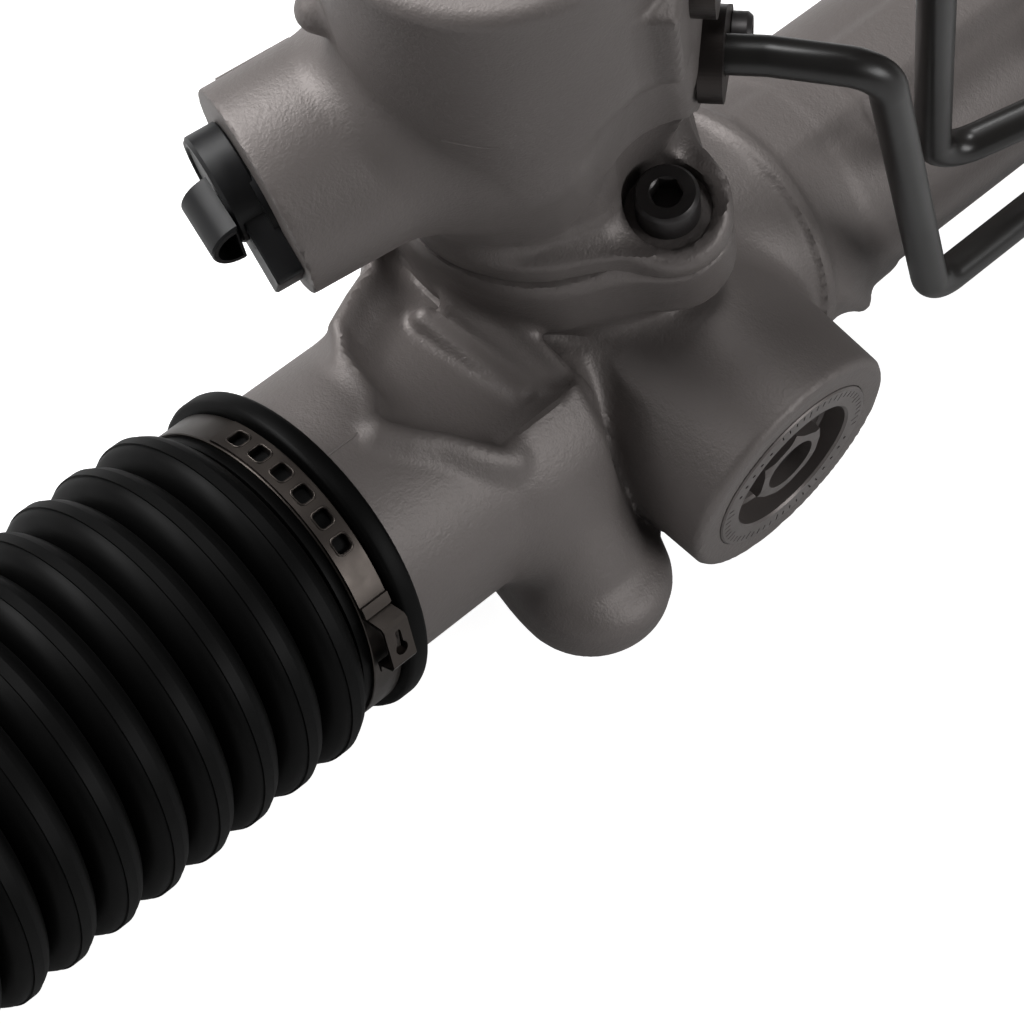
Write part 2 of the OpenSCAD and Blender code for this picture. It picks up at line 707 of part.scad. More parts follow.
module input_shaft() {
    color(steel_col) at_pinion() difference() {
        union() {
            translate([0, 0, rotor_h]) cylinder(r = rotor_r, h = bore_top - rotor_h - 2);
            translate([0, 0, bore_top - 3]) cylinder(r = input_neck_r, h = tower_top + 8 - bore_top);
            translate([0, 0, tower_top + 5]) cylinder(r = serration_r, h = input_top - tower_top - 6);
            translate([0, 0, input_top - 1]) cylinder(r1 = serration_r, r2 = serration_r - 1, h = 1);
        }
        translate([0, 0, rotor_h - 1]) cylinder(r = bar_end_r + running, h = input_top - rotor_h + 2);
        for (a = [0 : 5]) rotate([0, 0, a * 60 + 30]) translate([rotor_r, 0, rotor_h + 8])
            cylinder(r = 1.6, h = sleeve_top - rotor_h - 16, $fn = 16);
        translate([0, 0, upper_pin_h]) rotate([0, 90, 0]) cylinder(r = pin_r + seat_gap, h = 60, center = true);
    }
}

module torsion_bar() {
    color(bright_col) at_pinion() difference() {
        union() {
            translate([0, 0, bar_bottom]) cylinder(r = bar_end_r, h = 22);
            translate([0, 0, bar_bottom + 21]) cylinder(r = bar_r, h = bar_top - bar_bottom - 38);
            translate([0, 0, bar_top - 18]) cylinder(r = bar_end_r, h = 18);
        }
        translate([0, 0, lower_pin_h]) rotate([0, 90, 0]) cylinder(r = pin_r + seat_gap, h = 60, center = true);
        translate([0, 0, upper_pin_h]) rotate([0, 90, 0]) cylinder(r = pin_r + 0.45, h = 60, center = true);
    }
}

module lower_pin() {
    color(steel_col) at_pinion() translate([0, 0, lower_pin_h]) rotate([0, 90, 0])
        cylinder(r = pin_r, h = 2 * shaft_r - 1, center = true);
}

module upper_pin() {
    color(steel_col) at_pinion() translate([0, 0, upper_pin_h]) rotate([0, 90, 0])
        cylinder(r = pin_r, h = 2 * serration_r - 1, center = true);
}

module input_bearing() {
    color(steel_col) at_pinion() translate([0, 0, bore_top + 1])
        ring(input_neck_r + running, input_bore_r - seat_gap, 11);
}

module input_seal() {
    color(rubber_col) at_pinion() translate([0, 0, bore_top + 13])
        ring(input_neck_r + running, input_bore_r - seat_gap, 6);
}

module seal_retainer() {
    color(steel_col) at_pinion() translate([0, 0, bore_top + 19.5])
        ring(input_neck_r + 1, input_bore_r - seat_gap, 1.5);
}

module dust_cap() {
    color(rubber_col) at_pinion() translate([0, 0, tower_top + 0.2]) difference() {
        rotate_extrude() polygon([[input_bore_r + 6.1, 0], [input_bore_r + 9, 0], [input_bore_r + 9, 5],
                                  [input_neck_r + 6, 8.5], [input_neck_r + 2.5, 14], [input_neck_r + pass_gap, 14],
                                  [input_neck_r + pass_gap, 10], [input_neck_r + 3, 6.5],
                                  [input_bore_r + 6.1, 4]]);
        translate([0, 0, -1]) cylinder(r = input_neck_r + pass_gap, h = 20);
    }
}

module solenoid_body() {
    color(plastic_col) at_solenoid() difference() {
        union() {
            translate([0, 0, 28]) cylinder(r = solenoid_bore_r - seat_gap, h = solenoid_reach - 27);
            translate([cap_place[0], cap_place[1], solenoid_reach + 0.1]) {
                cylinder(r = cap_r, h = cap_t - 0.6);
                translate([0, 0, cap_t - 0.6]) cylinder(r1 = cap_r, r2 = cap_r - 0.6, h = 0.6);
            }
            translate([0, 0, solenoid_reach + 0.1]) rotate([0, 0, ear_turn])
                translate([0, -7, 0]) cube([18, 14, cap_t - 1.4]);
        }
        translate([0, 0, 27]) cylinder(r = plunger_bore_r, h = 26);
        translate([0, 0, solenoid_reach - 4]) ring(solenoid_bore_r - 2, solenoid_bore_r + 1, 2.6);
    }
}

// Round plug socket across the cap, open towards the yoke side
module solenoid_connector() {
    color(plastic_col) at_solenoid() translate([cap_place[0], 0, solenoid_reach + cap_t + 0.2]) difference() {
        translate([0, cap_place[1], 0]) rotate([-90, 0, 0]) cylinder(r = socket_shell_r, h = 13);
        translate([-10, -20, -20]) cube([20, 40, 20]);
        translate([0, cap_place[1] + 5, 0.8]) rotate([-90, 0, 0]) cylinder(r = socket_shell_r - 1.8, h = 13);
    }
}

module solenoid_oring() {
    color(rubber_col) at_solenoid() translate([0, 0, solenoid_reach - 2.7]) round_ring(solenoid_bore_r - 1, 0.9);
}

module solenoid_plunger() {
    color(bright_col) at_solenoid() {
        translate([0, 0, 34]) cylinder(r = plunger_bore_r - pass_gap, h = 14.9);
        translate([0, 0, 22]) cylinder(r = 1.6, h = 13);
    }
}

module plunger_spring() {
    color(steel_col) at_solenoid() translate([0, 0, 49]) coil_spring(2.9, 0.5, 3.8, 3);
}

// Plate that clamps one line end into its port, with its screw hole
module line_clamp(h) {
    color(steel_col) at_port(h) translate([0, 0, port_reach + 0.1]) difference() {
        linear_extrude(height = plate_t) hull() {
            circle(r = line_r + 5.5);
            translate([9, 9]) circle(r = 6);
        }
        translate([0, 0, -1]) cylinder(r = line_r + pass_gap, h = plate_t + 2);
        translate([9, 9, -1]) cylinder(r = 3.2, h = plate_t + 2);
    }
}

module line_clamp_upper() { line_clamp(port_high_h); }
module line_clamp_lower() { line_clamp(port_low_h); }

module clamp_screws() {
    color(black_col) for (h = [port_low_h, port_high_h]) at_port(h) translate([9, 9, 0]) difference() {
        union() {
            translate([0, 0, port_reach - 9]) cylinder(r = 2.4, h = plate_t + 9.2);
            translate([0, 0, port_reach + plate_t + 0.15]) cylinder(r = 4.8, h = 4);
        }
        translate([0, 0, port_reach + plate_t + 2]) cylinder(r = 2.4, h = 4, $fn = 6);
    }
}

// Centre points of a line from its tower port to its cylinder port
function port_point(h, reach) = from_pinion(concat(polar(reach, port_turn), [h]));
function run_point(x, run) = [x, run[0], run[1]];
function off_point(x, run, r) = [x, 0, 0] + unit([0, run[0], run[1]]) * r;

module line_end_nut(x, run) {
    d = unit([0, run[0], run[1]]);
    difference() {
        union() {
            between([x, 0, 0] + d * (port_boss_reach + 0.1), [x, 0, 0] + d * 99)
                cylinder(r = 8, h = nut_length, $fn = 6);
            straight([x, 0, 0] + d * (port_boss_reach - 7), [x, 0, 0] + d * (port_boss_reach + 1), 5.9);
        }
        straight([x, 0, 0] + d * (port_boss_reach - 8), [x, 0, 0] + d * 99, line_r + 0.1);
    }
}

module line_outer() {
    reach = port_boss_reach + nut_length + 14;
    color(black_col) bent_pipe([port_point(port_low_h, port_reach - 7),
                                port_point(port_low_h, port_reach + plate_t + 8),
                                port_point(port_low_h - 4, port_reach + plate_t + line_leg + 1),
                                run_point(56, outer_run),
                                run_point(outer_port_x - 44, outer_run),
                                off_point(outer_port_x - 28, outer_run, reach),
                                off_point(outer_port_x, outer_run, reach),
                                off_point(outer_port_x, outer_run, port_boss_reach - 7)],
                               line_bend - 3, line_r);
}

module line_inner() {
    reach = port_boss_reach + nut_length + 14;
    color(black_col) bent_pipe([port_point(port_high_h, port_reach - 7),
                                port_point(port_high_h, port_reach + plate_t + 20),
                                [28, inner_run[0] - 1, 137], run_point(63, inner_run),
                                off_point(inner_port_x - 26, inner_run, reach),
                                off_point(inner_port_x, inner_run, reach),
                                off_point(inner_port_x, inner_run, port_boss_reach - 7)],
                               line_bend - 4, line_r);
}

module line_nuts() {
    color(steel_col) {
        line_end_nut(inner_port_x, inner_run);
        line_end_nut(outer_port_x, outer_run);
    }
}

// Rings that stand in the cylinder bore round the rack
module bore_ring(x, w, inner_r) {
    translate([x, 0, 0]) rotate([0, 90, 0]) ring(inner_r, cylinder_r - seat_gap, w);
}

module inner_bush() { color(seat_col) bore_ring(cylinder_start + seat_gap, bush_w, rack_r + running); }
module inner_rack_seal() { color(rubber_col) bore_ring(cylinder_start + bush_w + 2 * seat_gap, seal_w, rack_r + running); }
module outer_rack_seal() { color(rubber_col) bore_ring(cylinder_right, seal_w - seat_gap, rack_r + running); }
module outer_bush() { color(steel_col) bore_ring(cylinder_right + seal_w, bush_w - seat_gap, rack_r + running); }

module bush_retainer() {
    color(steel_col) translate([right_stop - 2 * retainer_w + seat_gap, 0, 0]) rotate([0, 90, 0])
        difference() {
            ring(cylinder_r - 2.5, retainer_r - seat_gap, retainer_w - 2 * seat_gap);
            translate([0, -3, -1]) cube([40, 6, 5]);
        }
}

module rack_bar() {
    color(steel_col) difference() {
        along_x(rack_left, rack_right, rack_r, rack_r);
        rack_tooth_spaces();
        along_x(rack_left - 1, rack_left + stud_length + 3, stud_r + seat_gap, stud_r + seat_gap);
        along_x(rack_right - stud_length - 3, rack_right + 1, stud_r + seat_gap, stud_r + seat_gap);
    }
}

module piston() {
    color(steel_col) translate([piston_x - piston_w / 2, 0, 0]) rotate([0, 90, 0]) difference() {
        ring(rack_r + seat_gap / 2, cylinder_r - 0.4, piston_w);
        translate([0, 0, piston_w / 2 - 2]) ring(cylinder_r - 3, cylinder_r + 1, 4);
    }
}

module piston_ring() {
    color(seat_col) translate([piston_x - 1.9, 0, 0]) rotate([0, 90, 0])
        ring(cylinder_r - 2.95, cylinder_r - running, 3.8);
}

// A ball joint half of the left side, seen from the rack end, along -X
module ball_socket() {
    color(steel_col) difference() {
        union() {
            along_x(0, socket_length - 6, socket_r, socket_r);
            along_x(socket_length - 6, socket_length, socket_r, socket_r - 4);
            along_x(-stud_length, 1, stud_r, stud_r);
        }
        translate([ball_offset, 0, 0]) rotate([0, 90, 0]) sphere(r = socket_cavity_r);
        for (s = [-1, 1]) translate([5, s * (socket_r + 4), 0]) cube([10, 12, 50], center = true);
    }
}

module ball_seat() {
    color(seat_col) translate([ball_offset, 0, 0]) rotate([0, 90, 0]) rotate_extrude() difference() {
        intersection() {
            circle(r = ball_r + running + seat_t);
            translate([0, -20]) square([20, 20 + (ball_r + seat_t) * cos(62)]);
        }
        circle(r = ball_r + running);
        translate([-1, -20]) square([7, 20]);
    }
}

module tie_rod() {
    end = ball_offset + rod_length;
    color(steel_col) {
        translate([ball_offset, 0, 0]) rotate([0, 90, 0]) sphere(r = ball_r);
        along_x(ball_offset, ball_offset + 24, neck_rod_r, neck_rod_r);
        along_x(ball_offset + 22, ball_offset + 30, neck_rod_r, rod_r);
        along_x(ball_offset + 30, end - rod_thread_length - 2, rod_r, rod_r);
        along_x(end - rod_thread_length - 2, end - rod_thread_length, rod_r, thread_runout_r);
        along_x(end - rod_thread_length, end - free_thread, thread_runout_r, thread_runout_r);
        along_x(end - free_thread, end - 1, rod_thread_r, rod_thread_r);
        along_x(end - 1, end, rod_thread_r, rod_thread_r - 1);
    }
}

module jam_nut() {
    color(bright_col) translate([ball_offset + rod_length - rod_thread_length + 4, 0, 0]) rotate([0, 90, 0])
        difference() {
            cylinder(r = 12.7, h = 9, $fn = 6);
            translate([0, 0, -1]) cylinder(r = thread_runout_r + seat_gap, h = 11);
        }
}

module left_joint() { translate([rack_left, 0, 0]) mirror([1, 0, 0]) children(); }
module right_joint() { translate([rack_right, 0, 0]) children(); }

module ball_socket_left() { left_joint() ball_socket(); }
module ball_socket_right() { right_joint() ball_socket(); }
module ball_seat_left() { left_joint() ball_seat(); }
module ball_seat_right() { right_joint() ball_seat(); }
module tie_rod_left() { left_joint() tie_rod(); }
module tie_rod_right() { right_joint() tie_rod(); }
module jam_nut_left() { left_joint() jam_nut(); }
module jam_nut_right() { right_joint() jam_nut(); }

// Radius of the folded wall at distance s along the folds
function fold_r(s) = let (u = 2 * s / crest_pitch - floor(2 * s / crest_pitch / 2) * 2 - 1)
    valley_r + (crest_r - valley_r) * sqrt(max(0, 1 - pow(abs(u), 2.2)));

// Boot along +X from its inner edge, a revolved wall of folds
module boot() {
    steps = 12;
    n = crests * steps;
    neck_in_r = neck_r + seat_gap;
    folds = [for (i = [0 : n]) let (s = i * crest_pitch / steps) [fold_start + s, fold_r(s)]];
    outer = concat([[0, lip_r], [lip_w - 0.5, lip_r], [lip_w, clamp_seat_r],
                    [lip_w + seat_w, clamp_seat_r], [lip_w + seat_w + 0.5, valley_r + 4],
                    [fold_start - 0.5, valley_r + 4]], folds,
                   [[fold_end + 8, small_r + 8], [small_end - 11, small_r + 3.4],
                    [small_end - 10.5, small_r + 2.2], [small_end - 3.5, small_r + 2.2],
                    [small_end - 3, small_r + 3.4], [small_end, small_r + 3.4]]);
    inner_folds = [for (i = [n : -1 : 0]) let (s = i * crest_pitch / steps)
        [fold_start + s, fold_r(s) - rubber_t]];
    inner = concat([[small_end, small_r], [small_end - 12, small_r], [fold_end + 7, small_r + 6]],
                   inner_folds, [[fold_start, neck_in_r], [clamp_centre + 2.2, neck_in_r],
                                 [clamp_centre + 1.6, neck_in_r - bead_t], [clamp_centre - 1.6, neck_in_r - bead_t],
                                 [clamp_centre - 2.2, neck_in_r], [0, neck_in_r]]);
    color(rubber_col) rotate([90, 0, 90]) rotate_extrude_x(concat(outer, inner));
}

// Revolves an outline of [along, radius] points about X once the caller turns Z to X
module rotate_extrude_x(points) {
    rotate_extrude() polygon([for (p = points) [p[1], p[0]]]);
}

module boot_clamp() {
    band_w = seat_w - 1;
    band_r = clamp_seat_r + seat_gap;
    color(bright_col) rotate([90, 0, 90]) translate([0, 0, clamp_start]) difference() {
        union() {
            cylinder(r = band_r + clamp_t, h = band_w);
            rotate([0, 0, clamp_ear_turn]) translate([band_r - 2, -6, 0.6]) cube([6.4, 12, band_w - 1.2]);
        }
        translate([0, 0, -1]) cylinder(r = band_r, h = band_w + 2);
        rotate([0, 0, clamp_ear_turn]) translate([band_r + 1.6, -3.5, 2.2]) cube([5, 7, band_w - 4.4]);
        for (i = [0 : 5]) rotate([0, 0, clamp_ear_turn - 34 - i * 10])
            translate([band_r - 1, -1.3, band_w / 2 - 1.7]) cube([4, 2.6, 3.4]);
    }
}

module rod_clip() {
    color(bright_col) rotate([90, 0, 90]) translate([0, 0, small_end - 10])
        ring(small_r + 2.25, small_r + 3.6, 6);
}

module left_boot_place() { translate([neck_end + boot_seat, 0, 0]) mirror([1, 0, 0]) children(); }
module right_boot_place() { translate([tube_end - boot_seat, 0, 0]) children(); }

module boot_left() { left_boot_place() boot(); }
module boot_right() { right_boot_place() boot(); }
module boot_clamp_left() { left_boot_place() boot_clamp(); }
module boot_clamp_right() { right_boot_place() boot_clamp(); }
module rod_clip_left() { left_boot_place() rod_clip(); }
module rod_clip_right() { right_boot_place() rod_clip(); }

rack_housing();
valve_housing();
housing_screws();
joint_oring();
rack_yoke();
yoke_liner();
yoke_spring();
yoke_oring();
yoke_plug();
yoke_set_screw();
lower_bearing();
pinion_end_cap();
bearing_outer_ring();
bearing_balls();
bearing_inner_ring();
pinion_seal();
pinion_shaft();
valve_sleeve();
sleeve_rings();
input_shaft();
torsion_bar();
lower_pin();
upper_pin();
input_bearing();
input_seal();
seal_retainer();
dust_cap();
solenoid_body();
solenoid_connector();
solenoid_oring();
solenoid_plunger();
plunger_spring();
line_clamp_upper();
line_clamp_lower();
clamp_screws();
line_inner();
line_outer();
line_nuts();
inner_bush();
inner_rack_seal();
outer_bush();
outer_rack_seal();
bush_retainer();
rack_bar();
piston();
piston_ring();
ball_socket_left();
ball_socket_right();
ball_seat_left();
ball_seat_right();
tie_rod_left();
tie_rod_right();
jam_nut_left();
jam_nut_right();
boot_left();
boot_right();
boot_clamp_left();
boot_clamp_right();
rod_clip_left();
rod_clip_right();
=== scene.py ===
"""Looks of a hydraulic rack and pinion steering gear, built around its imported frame.

Lengths are millimetres in this file and metres in Blender. X runs along the rack, Z is up and
the yoke plug faces -Y.
"""
import json
import logging
import math
from collections.abc import Callable
from dataclasses import dataclass, field
from enum import Enum
from typing import Any

import bmesh
import bpy
import numpy as np
from mathutils import Matrix, Vector


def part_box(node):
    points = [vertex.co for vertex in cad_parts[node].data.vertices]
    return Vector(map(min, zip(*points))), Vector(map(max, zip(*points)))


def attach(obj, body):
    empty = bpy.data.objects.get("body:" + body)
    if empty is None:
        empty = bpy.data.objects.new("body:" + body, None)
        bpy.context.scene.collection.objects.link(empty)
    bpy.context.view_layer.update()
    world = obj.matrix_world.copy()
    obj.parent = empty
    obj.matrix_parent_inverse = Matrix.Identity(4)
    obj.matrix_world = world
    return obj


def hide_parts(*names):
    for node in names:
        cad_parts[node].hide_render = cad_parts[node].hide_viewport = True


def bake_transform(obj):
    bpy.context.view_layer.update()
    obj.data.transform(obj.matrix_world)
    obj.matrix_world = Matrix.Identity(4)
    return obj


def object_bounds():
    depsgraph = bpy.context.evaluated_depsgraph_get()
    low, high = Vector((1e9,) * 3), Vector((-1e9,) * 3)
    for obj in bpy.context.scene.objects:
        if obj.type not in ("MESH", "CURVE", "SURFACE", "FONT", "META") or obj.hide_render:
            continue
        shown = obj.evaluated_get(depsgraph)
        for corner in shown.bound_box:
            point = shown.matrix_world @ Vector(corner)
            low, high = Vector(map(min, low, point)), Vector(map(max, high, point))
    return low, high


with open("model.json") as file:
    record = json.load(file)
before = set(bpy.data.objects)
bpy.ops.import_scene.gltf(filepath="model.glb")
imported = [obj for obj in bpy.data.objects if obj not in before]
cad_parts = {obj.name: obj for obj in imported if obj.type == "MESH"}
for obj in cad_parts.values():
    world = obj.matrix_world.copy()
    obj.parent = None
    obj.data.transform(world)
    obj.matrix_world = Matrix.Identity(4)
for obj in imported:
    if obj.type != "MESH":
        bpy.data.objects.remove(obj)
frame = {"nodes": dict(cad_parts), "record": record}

CAD_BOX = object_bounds()
log = logging.getLogger("steering gear")
Array = np.ndarray
Socket = bpy.types.NodeSocket
MM = 0.001
FULL_TURN = 2 * math.pi


# Places and frames

@dataclass(frozen=True)
class Place:
    """A turned set of axes: where it starts, and its three unit directions.

    Args:
        origin: the starting point, in millimetres.
        x: first direction.
        y: second direction.
        z: third direction, the axis of what stands there.
    """

    origin: tuple[float, float, float]
    x: tuple[float, float, float]
    y: tuple[float, float, float]
    z: tuple[float, float, float]

    def local(self, points: Array) -> tuple[Array, Array, Array]:
        """The points' three coordinates in this place."""
        away = points - np.asarray(self.origin, points.dtype)
        return tuple(away @ np.asarray(axis, points.dtype) for axis in (self.x, self.y, self.z))

    def point(self, x: float, y: float, z: float) -> Vector:
        """The part's point that has these coordinates in this place."""
        x, y, z = float(x), float(y), float(z)
        return Vector(self.origin) + x * Vector(self.x) + y * Vector(self.y) + z * Vector(self.z)

    def turned(self, angle: float, height: float) -> "Place":
        """A place at that height, whose z points sideways at that angle in degrees."""
        a = math.radians(angle)
        x, y, z = Vector(self.x), Vector(self.y), Vector(self.z)
        out = x * math.cos(a) + y * math.sin(a)
        side = y * math.cos(a) - x * math.sin(a)
        return Place(tuple(self.point(0, 0, height)), tuple(-z), tuple(side), tuple(out))

    def moved(self, x: float, y: float, z: float) -> "Place":
        """The same directions, starting from that point of this place."""
        return Place(tuple(self.point(x, y, z)), self.x, self.y, self.z)

    def spun(self, angle: float) -> "Place":
        """This place turned about its own z by that angle in degrees."""
        a = math.radians(angle)
        x, y = Vector(self.x), Vector(self.y)
        return Place(self.origin, tuple(math.cos(a) * x + math.sin(a) * y),
                     tuple(math.cos(a) * y - math.sin(a) * x), self.z)


LEAN = math.radians(17)
PINION_Y = 17.41
PINION = Place((0, PINION_Y, 0), (math.cos(LEAN), 0, math.sin(LEAN)), (0, 1, 0),
               (-math.sin(LEAN), 0, math.cos(LEAN)))
RACK = Place((0, 0, 0), (0, 1, 0), (0, 0, 1), (1, 0, 0))
UPRIGHT = Place((0, 0, 0), (1, 0, 0), (0, 1, 0), (0, 0, 1))
YOKE = Place((0, 0, 0), (1, 0, 0), (0, 0, 1), (0, -1, 0))
SOLENOID = PINION.turned(166, 97)


def along_rack(start: float, outward: int) -> Place:
    """A place on the rack's axis whose z points outwards, which is -1 or 1 along X."""
    return Place((start, 0, 0), RACK.x, RACK.y, (outward, 0, 0))


# Cast forms as signed distances, negative inside

def round_both(a: Array, b: Array, edge: float) -> Array:
    """What two forms share, with a rounded edge where they meet.

    Args:
        a: distances to the first form.
        b: distances to the second form.
        edge: radius of the edge.

    Returns:
        Distances to the shared form.
    """
    if edge <= 0:
        return np.maximum(a, b)
    corner = np.hypot(np.maximum(a + edge, 0), np.maximum(b + edge, 0))
    return np.minimum(np.maximum(a, b), -edge) + corner


def round_either(a: Array, b: Array, fillet: float) -> Array:
    """Two forms together, with a fillet of that radius in the corner between them."""
    return -round_both(-a, -b, fillet)


def bar(points: Array, place: Place, low: float, high: float, r_low: float,
        r_high: float | None = None, edge: float = 0) -> Array:
    """A round bar along a place's z, straight or tapered.

    Args:
        points: where the distances are wanted.
        place: the bar's place.
        low: where it starts along z.
        high: where it ends along z.
        r_low: radius at the start.
        r_high: radius at the end, the same if left out.
        edge: radius of its end edges.

    Returns:
        Distances to the bar.
    """
    x, y, z = place.local(points)
    taper = 0 if r_high is None else (r_high - r_low) / (high - low)
    side = (np.hypot(x, y) - r_low - taper * (z - low)) / math.hypot(1, taper)
    return round_both(side, np.abs(z - (low + high) / 2) - (high - low) / 2, edge)


def block(points: Array, place: Place, centre: tuple[float, float, float],
          half: tuple[float, float, float], edge: float = 0) -> Array:
    """A box with rounded edges, given by its centre and half sizes in a place."""
    away = [np.abs(v - c) - h for v, c, h in zip(place.local(points), centre, half)]
    return round_both(round_both(away[0], away[1], edge), away[2], edge)


def finger(points: Array, a: tuple[float, float, float], b: tuple[float, float, float],
           r_a: float, r_b: float) -> Array:
    """A round-ended bar from a to b, with a radius at each end."""
    start, along = np.asarray(a, points.dtype), np.subtract(b, a).astype(points.dtype)
    share = np.clip(((points - start) @ along) / (along @ along), 0, 1)
    gap = np.linalg.norm(points - start - share[:, None] * along, axis=1)
    return gap - (r_a + (r_b - r_a) * share)


def outline(x: Array, y: Array, corners: list[tuple[float, float]]) -> Array:
    """Distances in a plane to a closed outline of straight sides, given anticlockwise."""
    nearest = np.full(x.shape, 1e9, x.dtype)
    inside = np.zeros(x.shape, bool)
    for (x0, y0), (x1, y1) in zip(corners, corners[1:] + corners[:1]):
        ex, ey, wx, wy = x1 - x0, y1 - y0, x - x0, y - y0
        share = np.clip((wx * ex + wy * ey) / (ex * ex + ey * ey), 0, 1)
        nearest = np.minimum(nearest, (wx - share * ex) ** 2 + (wy - share * ey) ** 2)
        crosses = (y0 > y) != (y1 > y)
        if y1 != y0:
            inside ^= crosses & (x < (x1 - x0) * (y - y0) / (y1 - y0) + x0)
    return np.sqrt(nearest) * np.where(inside, -1, 1)


class Casting:
    """A cast form that grows by added and cut forms, sampled at given points."""

    def __init__(self, points: Array) -> None:
        """Starts with nothing there."""
        self.points = points
        self.distance = np.full(len(points), 1e3, points.dtype)

    def add(self, form: Array, fillet: float = 0) -> None:
        """Joins a form on, with a fillet round its foot."""
        self.distance = round_either(self.distance, form, fillet)

    def cut(self, form: Array, edge: float = 0) -> None:
        """Takes a form away, and rounds the edge that it leaves."""
        self.distance = round_both(self.distance, -form, edge)


class Skin:
    """Turns a cast form into a mesh of four-sided faces that keeps its sharp edges.

    Each cell that the surface passes through gets one point, where the tangent planes at its
    crossed edges meet.
    """

    SOFTEN = 0.08
    STEP = 0.02

    def __init__(self, form: Callable[[Array], Array], low: tuple, high: tuple, cell: float) -> None:
        """Keeps the form and lays the grid over the space from low to high."""
        self.form = form
        self.low = np.asarray(low, float)
        self.cell = cell
        self.count = np.ceil((np.asarray(high) - self.low) / cell).astype(int) + 1

    def sample(self) -> Array:
        """Distances at every grid point, worked out one layer group at a time."""
        nx, ny, nz = self.count
        y, z = (self.low[k] + self.cell * np.arange(self.count[k]) for k in (1, 2))
        layers = 24
        values = np.empty((nx, ny, nz), np.float32)
        for first in range(0, nx, layers):
            x = self.low[0] + self.cell * np.arange(first, min(first + layers, nx))
            grid = np.stack(np.meshgrid(x, y, z, indexing="ij"), -1).reshape(-1, 3)
            values[first:first + len(x)] = self.form(grid.astype(np.float32)).reshape(len(x), ny, nz)
        return values

    def mesh(self) -> tuple[Array, Array]:
        """Finds the surface.

        Returns:
            The points in millimetres, and the four-sided faces as rows of point numbers.
        """
        values = self.sample()
        stride = np.array([self.count[1] * self.count[2], self.count[2], 1])
        crossings, cells, flips = [], [], []
        for axis in range(3):
            ahead = [slice(None)] * 3
            behind = [slice(None)] * 3
            ahead[axis], behind[axis] = slice(1, None), slice(None, -1)
            a, b = values[tuple(behind)], values[tuple(ahead)]
            at = np.argwhere((a < 0) != (b < 0))
            u, v = (axis + 1) % 3, (axis + 2) % 3
            at = at[(at[:, u] > 0) & (at[:, v] > 0)]
            va, vb = a[tuple(at.T)], b[tuple(at.T)]
            place = at.astype(float)
            place[:, axis] += va / (va - vb)
            crossings.append(self.low + place * self.cell)
            corner = np.zeros((4, 3), int)
            corner[1:3, u] = -1
            corner[2:4, v] = -1
            cells.append(((at[:, None, :] + corner) * stride).sum(2))
            flips.append(va < 0)
        points, around, flip = np.vstack(crossings), np.vstack(cells), np.concatenate(flips)
        planes = self.tangents(points)
        used, where = np.unique(around, return_inverse=True)
        where = where.reshape(around.shape)
        corners = self.meet(points, planes, used, where, stride)
        faces = np.where(flip[:, None], where, where[:, ::-1])
        return corners, faces

    def tangents(self, points: Array) -> tuple[Array, Array]:
        """Surface normals at points, and how far each point is from the true surface."""
        here = self.form(points)
        slope = np.stack([self.form(points + self.STEP * np.eye(3)[k]) - here for k in range(3)], 1)
        size = np.linalg.norm(slope, axis=1)
        size[size < 1e-9] = 1
        return slope / size[:, None], here

    def meet(self, points: Array, planes: tuple[Array, Array], used: Array, where: Array,
             stride: Array) -> Array:
        """Places each cell's point by least squares over its tangent planes."""
        normal, gap = planes
        number = len(used)
        cell = where.ravel()
        n, p = np.repeat(normal, 4, 0), np.repeat(points, 4, 0)
        offset = (n * p).sum(1) - np.repeat(gap, 4)

        def total(weight: Array) -> Array:
            """Sums a weight over each cell."""
            return np.bincount(cell, weight, number)

        count = total(np.ones(len(cell)))
        middle = np.stack([total(p[:, k]) / count for k in range(3)], 1)
        rest = offset - (n * middle[cell]).sum(1)
        left = np.empty((number, 3, 3))
        for i in range(3):
            for j in range(i, 3):
                left[:, i, j] = left[:, j, i] = total(n[:, i] * n[:, j])
            left[:, i, i] += self.SOFTEN * count
        right = np.stack([total(n[:, k] * rest) for k in range(3)], 1)
        move = np.linalg.solve(left, right[:, :, None])[:, :, 0]
        index = np.stack([used // stride[0], used % stride[0] // stride[1], used % stride[1]], 1)
        low = self.low + index * self.cell
        return np.clip(middle + move, low, low + self.cell)


# Mesh helpers

def shade(obj: bpy.types.Object, sharp: float) -> None:
    """Smooth shading, apart from edges that turn by more than that many degrees."""
    obj.data.polygons.foreach_set("use_smooth", [True] * len(obj.data.polygons))
    obj.data.set_sharp_from_angle(angle=math.radians(sharp))


def make_object(name: str, points: Array, faces: list | Array, sharp: float = 35) -> bpy.types.Object:
    """Adds a mesh to the scene.

    Args:
        name: the piece's name.
        points: corners in millimetres, in the part's frame.
        faces: rows of corner numbers.
        sharp: turn in degrees above which an edge shows as sharp.

    Returns:
        The new object.
    """
    mesh = bpy.data.meshes.new(name)
    rows = [[int(i) for i in row] for row in faces]
    mesh.from_pydata((np.asarray(points, float) * MM).tolist(), [], rows)
    mesh.validate()
    obj = bpy.data.objects.new(name, mesh)
    bpy.context.scene.collection.objects.link(obj)
    shade(obj, sharp)
    return obj


def ring_faces(rings: int, around: int, closed: bool = False) -> list[list[int]]:
    """Four-sided faces between rings of points that follow each other.

    Args:
        rings: how many rings there are.
        around: how many points each ring has.
        closed: whether the last ring joins the first. If not, both ends get a flat face.

    Returns:
        The faces as rows of point numbers.
    """
    faces = []
    for k in range(rings if closed else rings - 1):
        a, b = k * around, (k + 1) % rings * around
        faces += [[a + i, a + (i + 1) % around, b + (i + 1) % around, b + i] for i in range(around)]
    if not closed:
        faces.append(list(range(around))[::-1])
        faces.append([(rings - 1) * around + i for i in range(around)])
    return faces


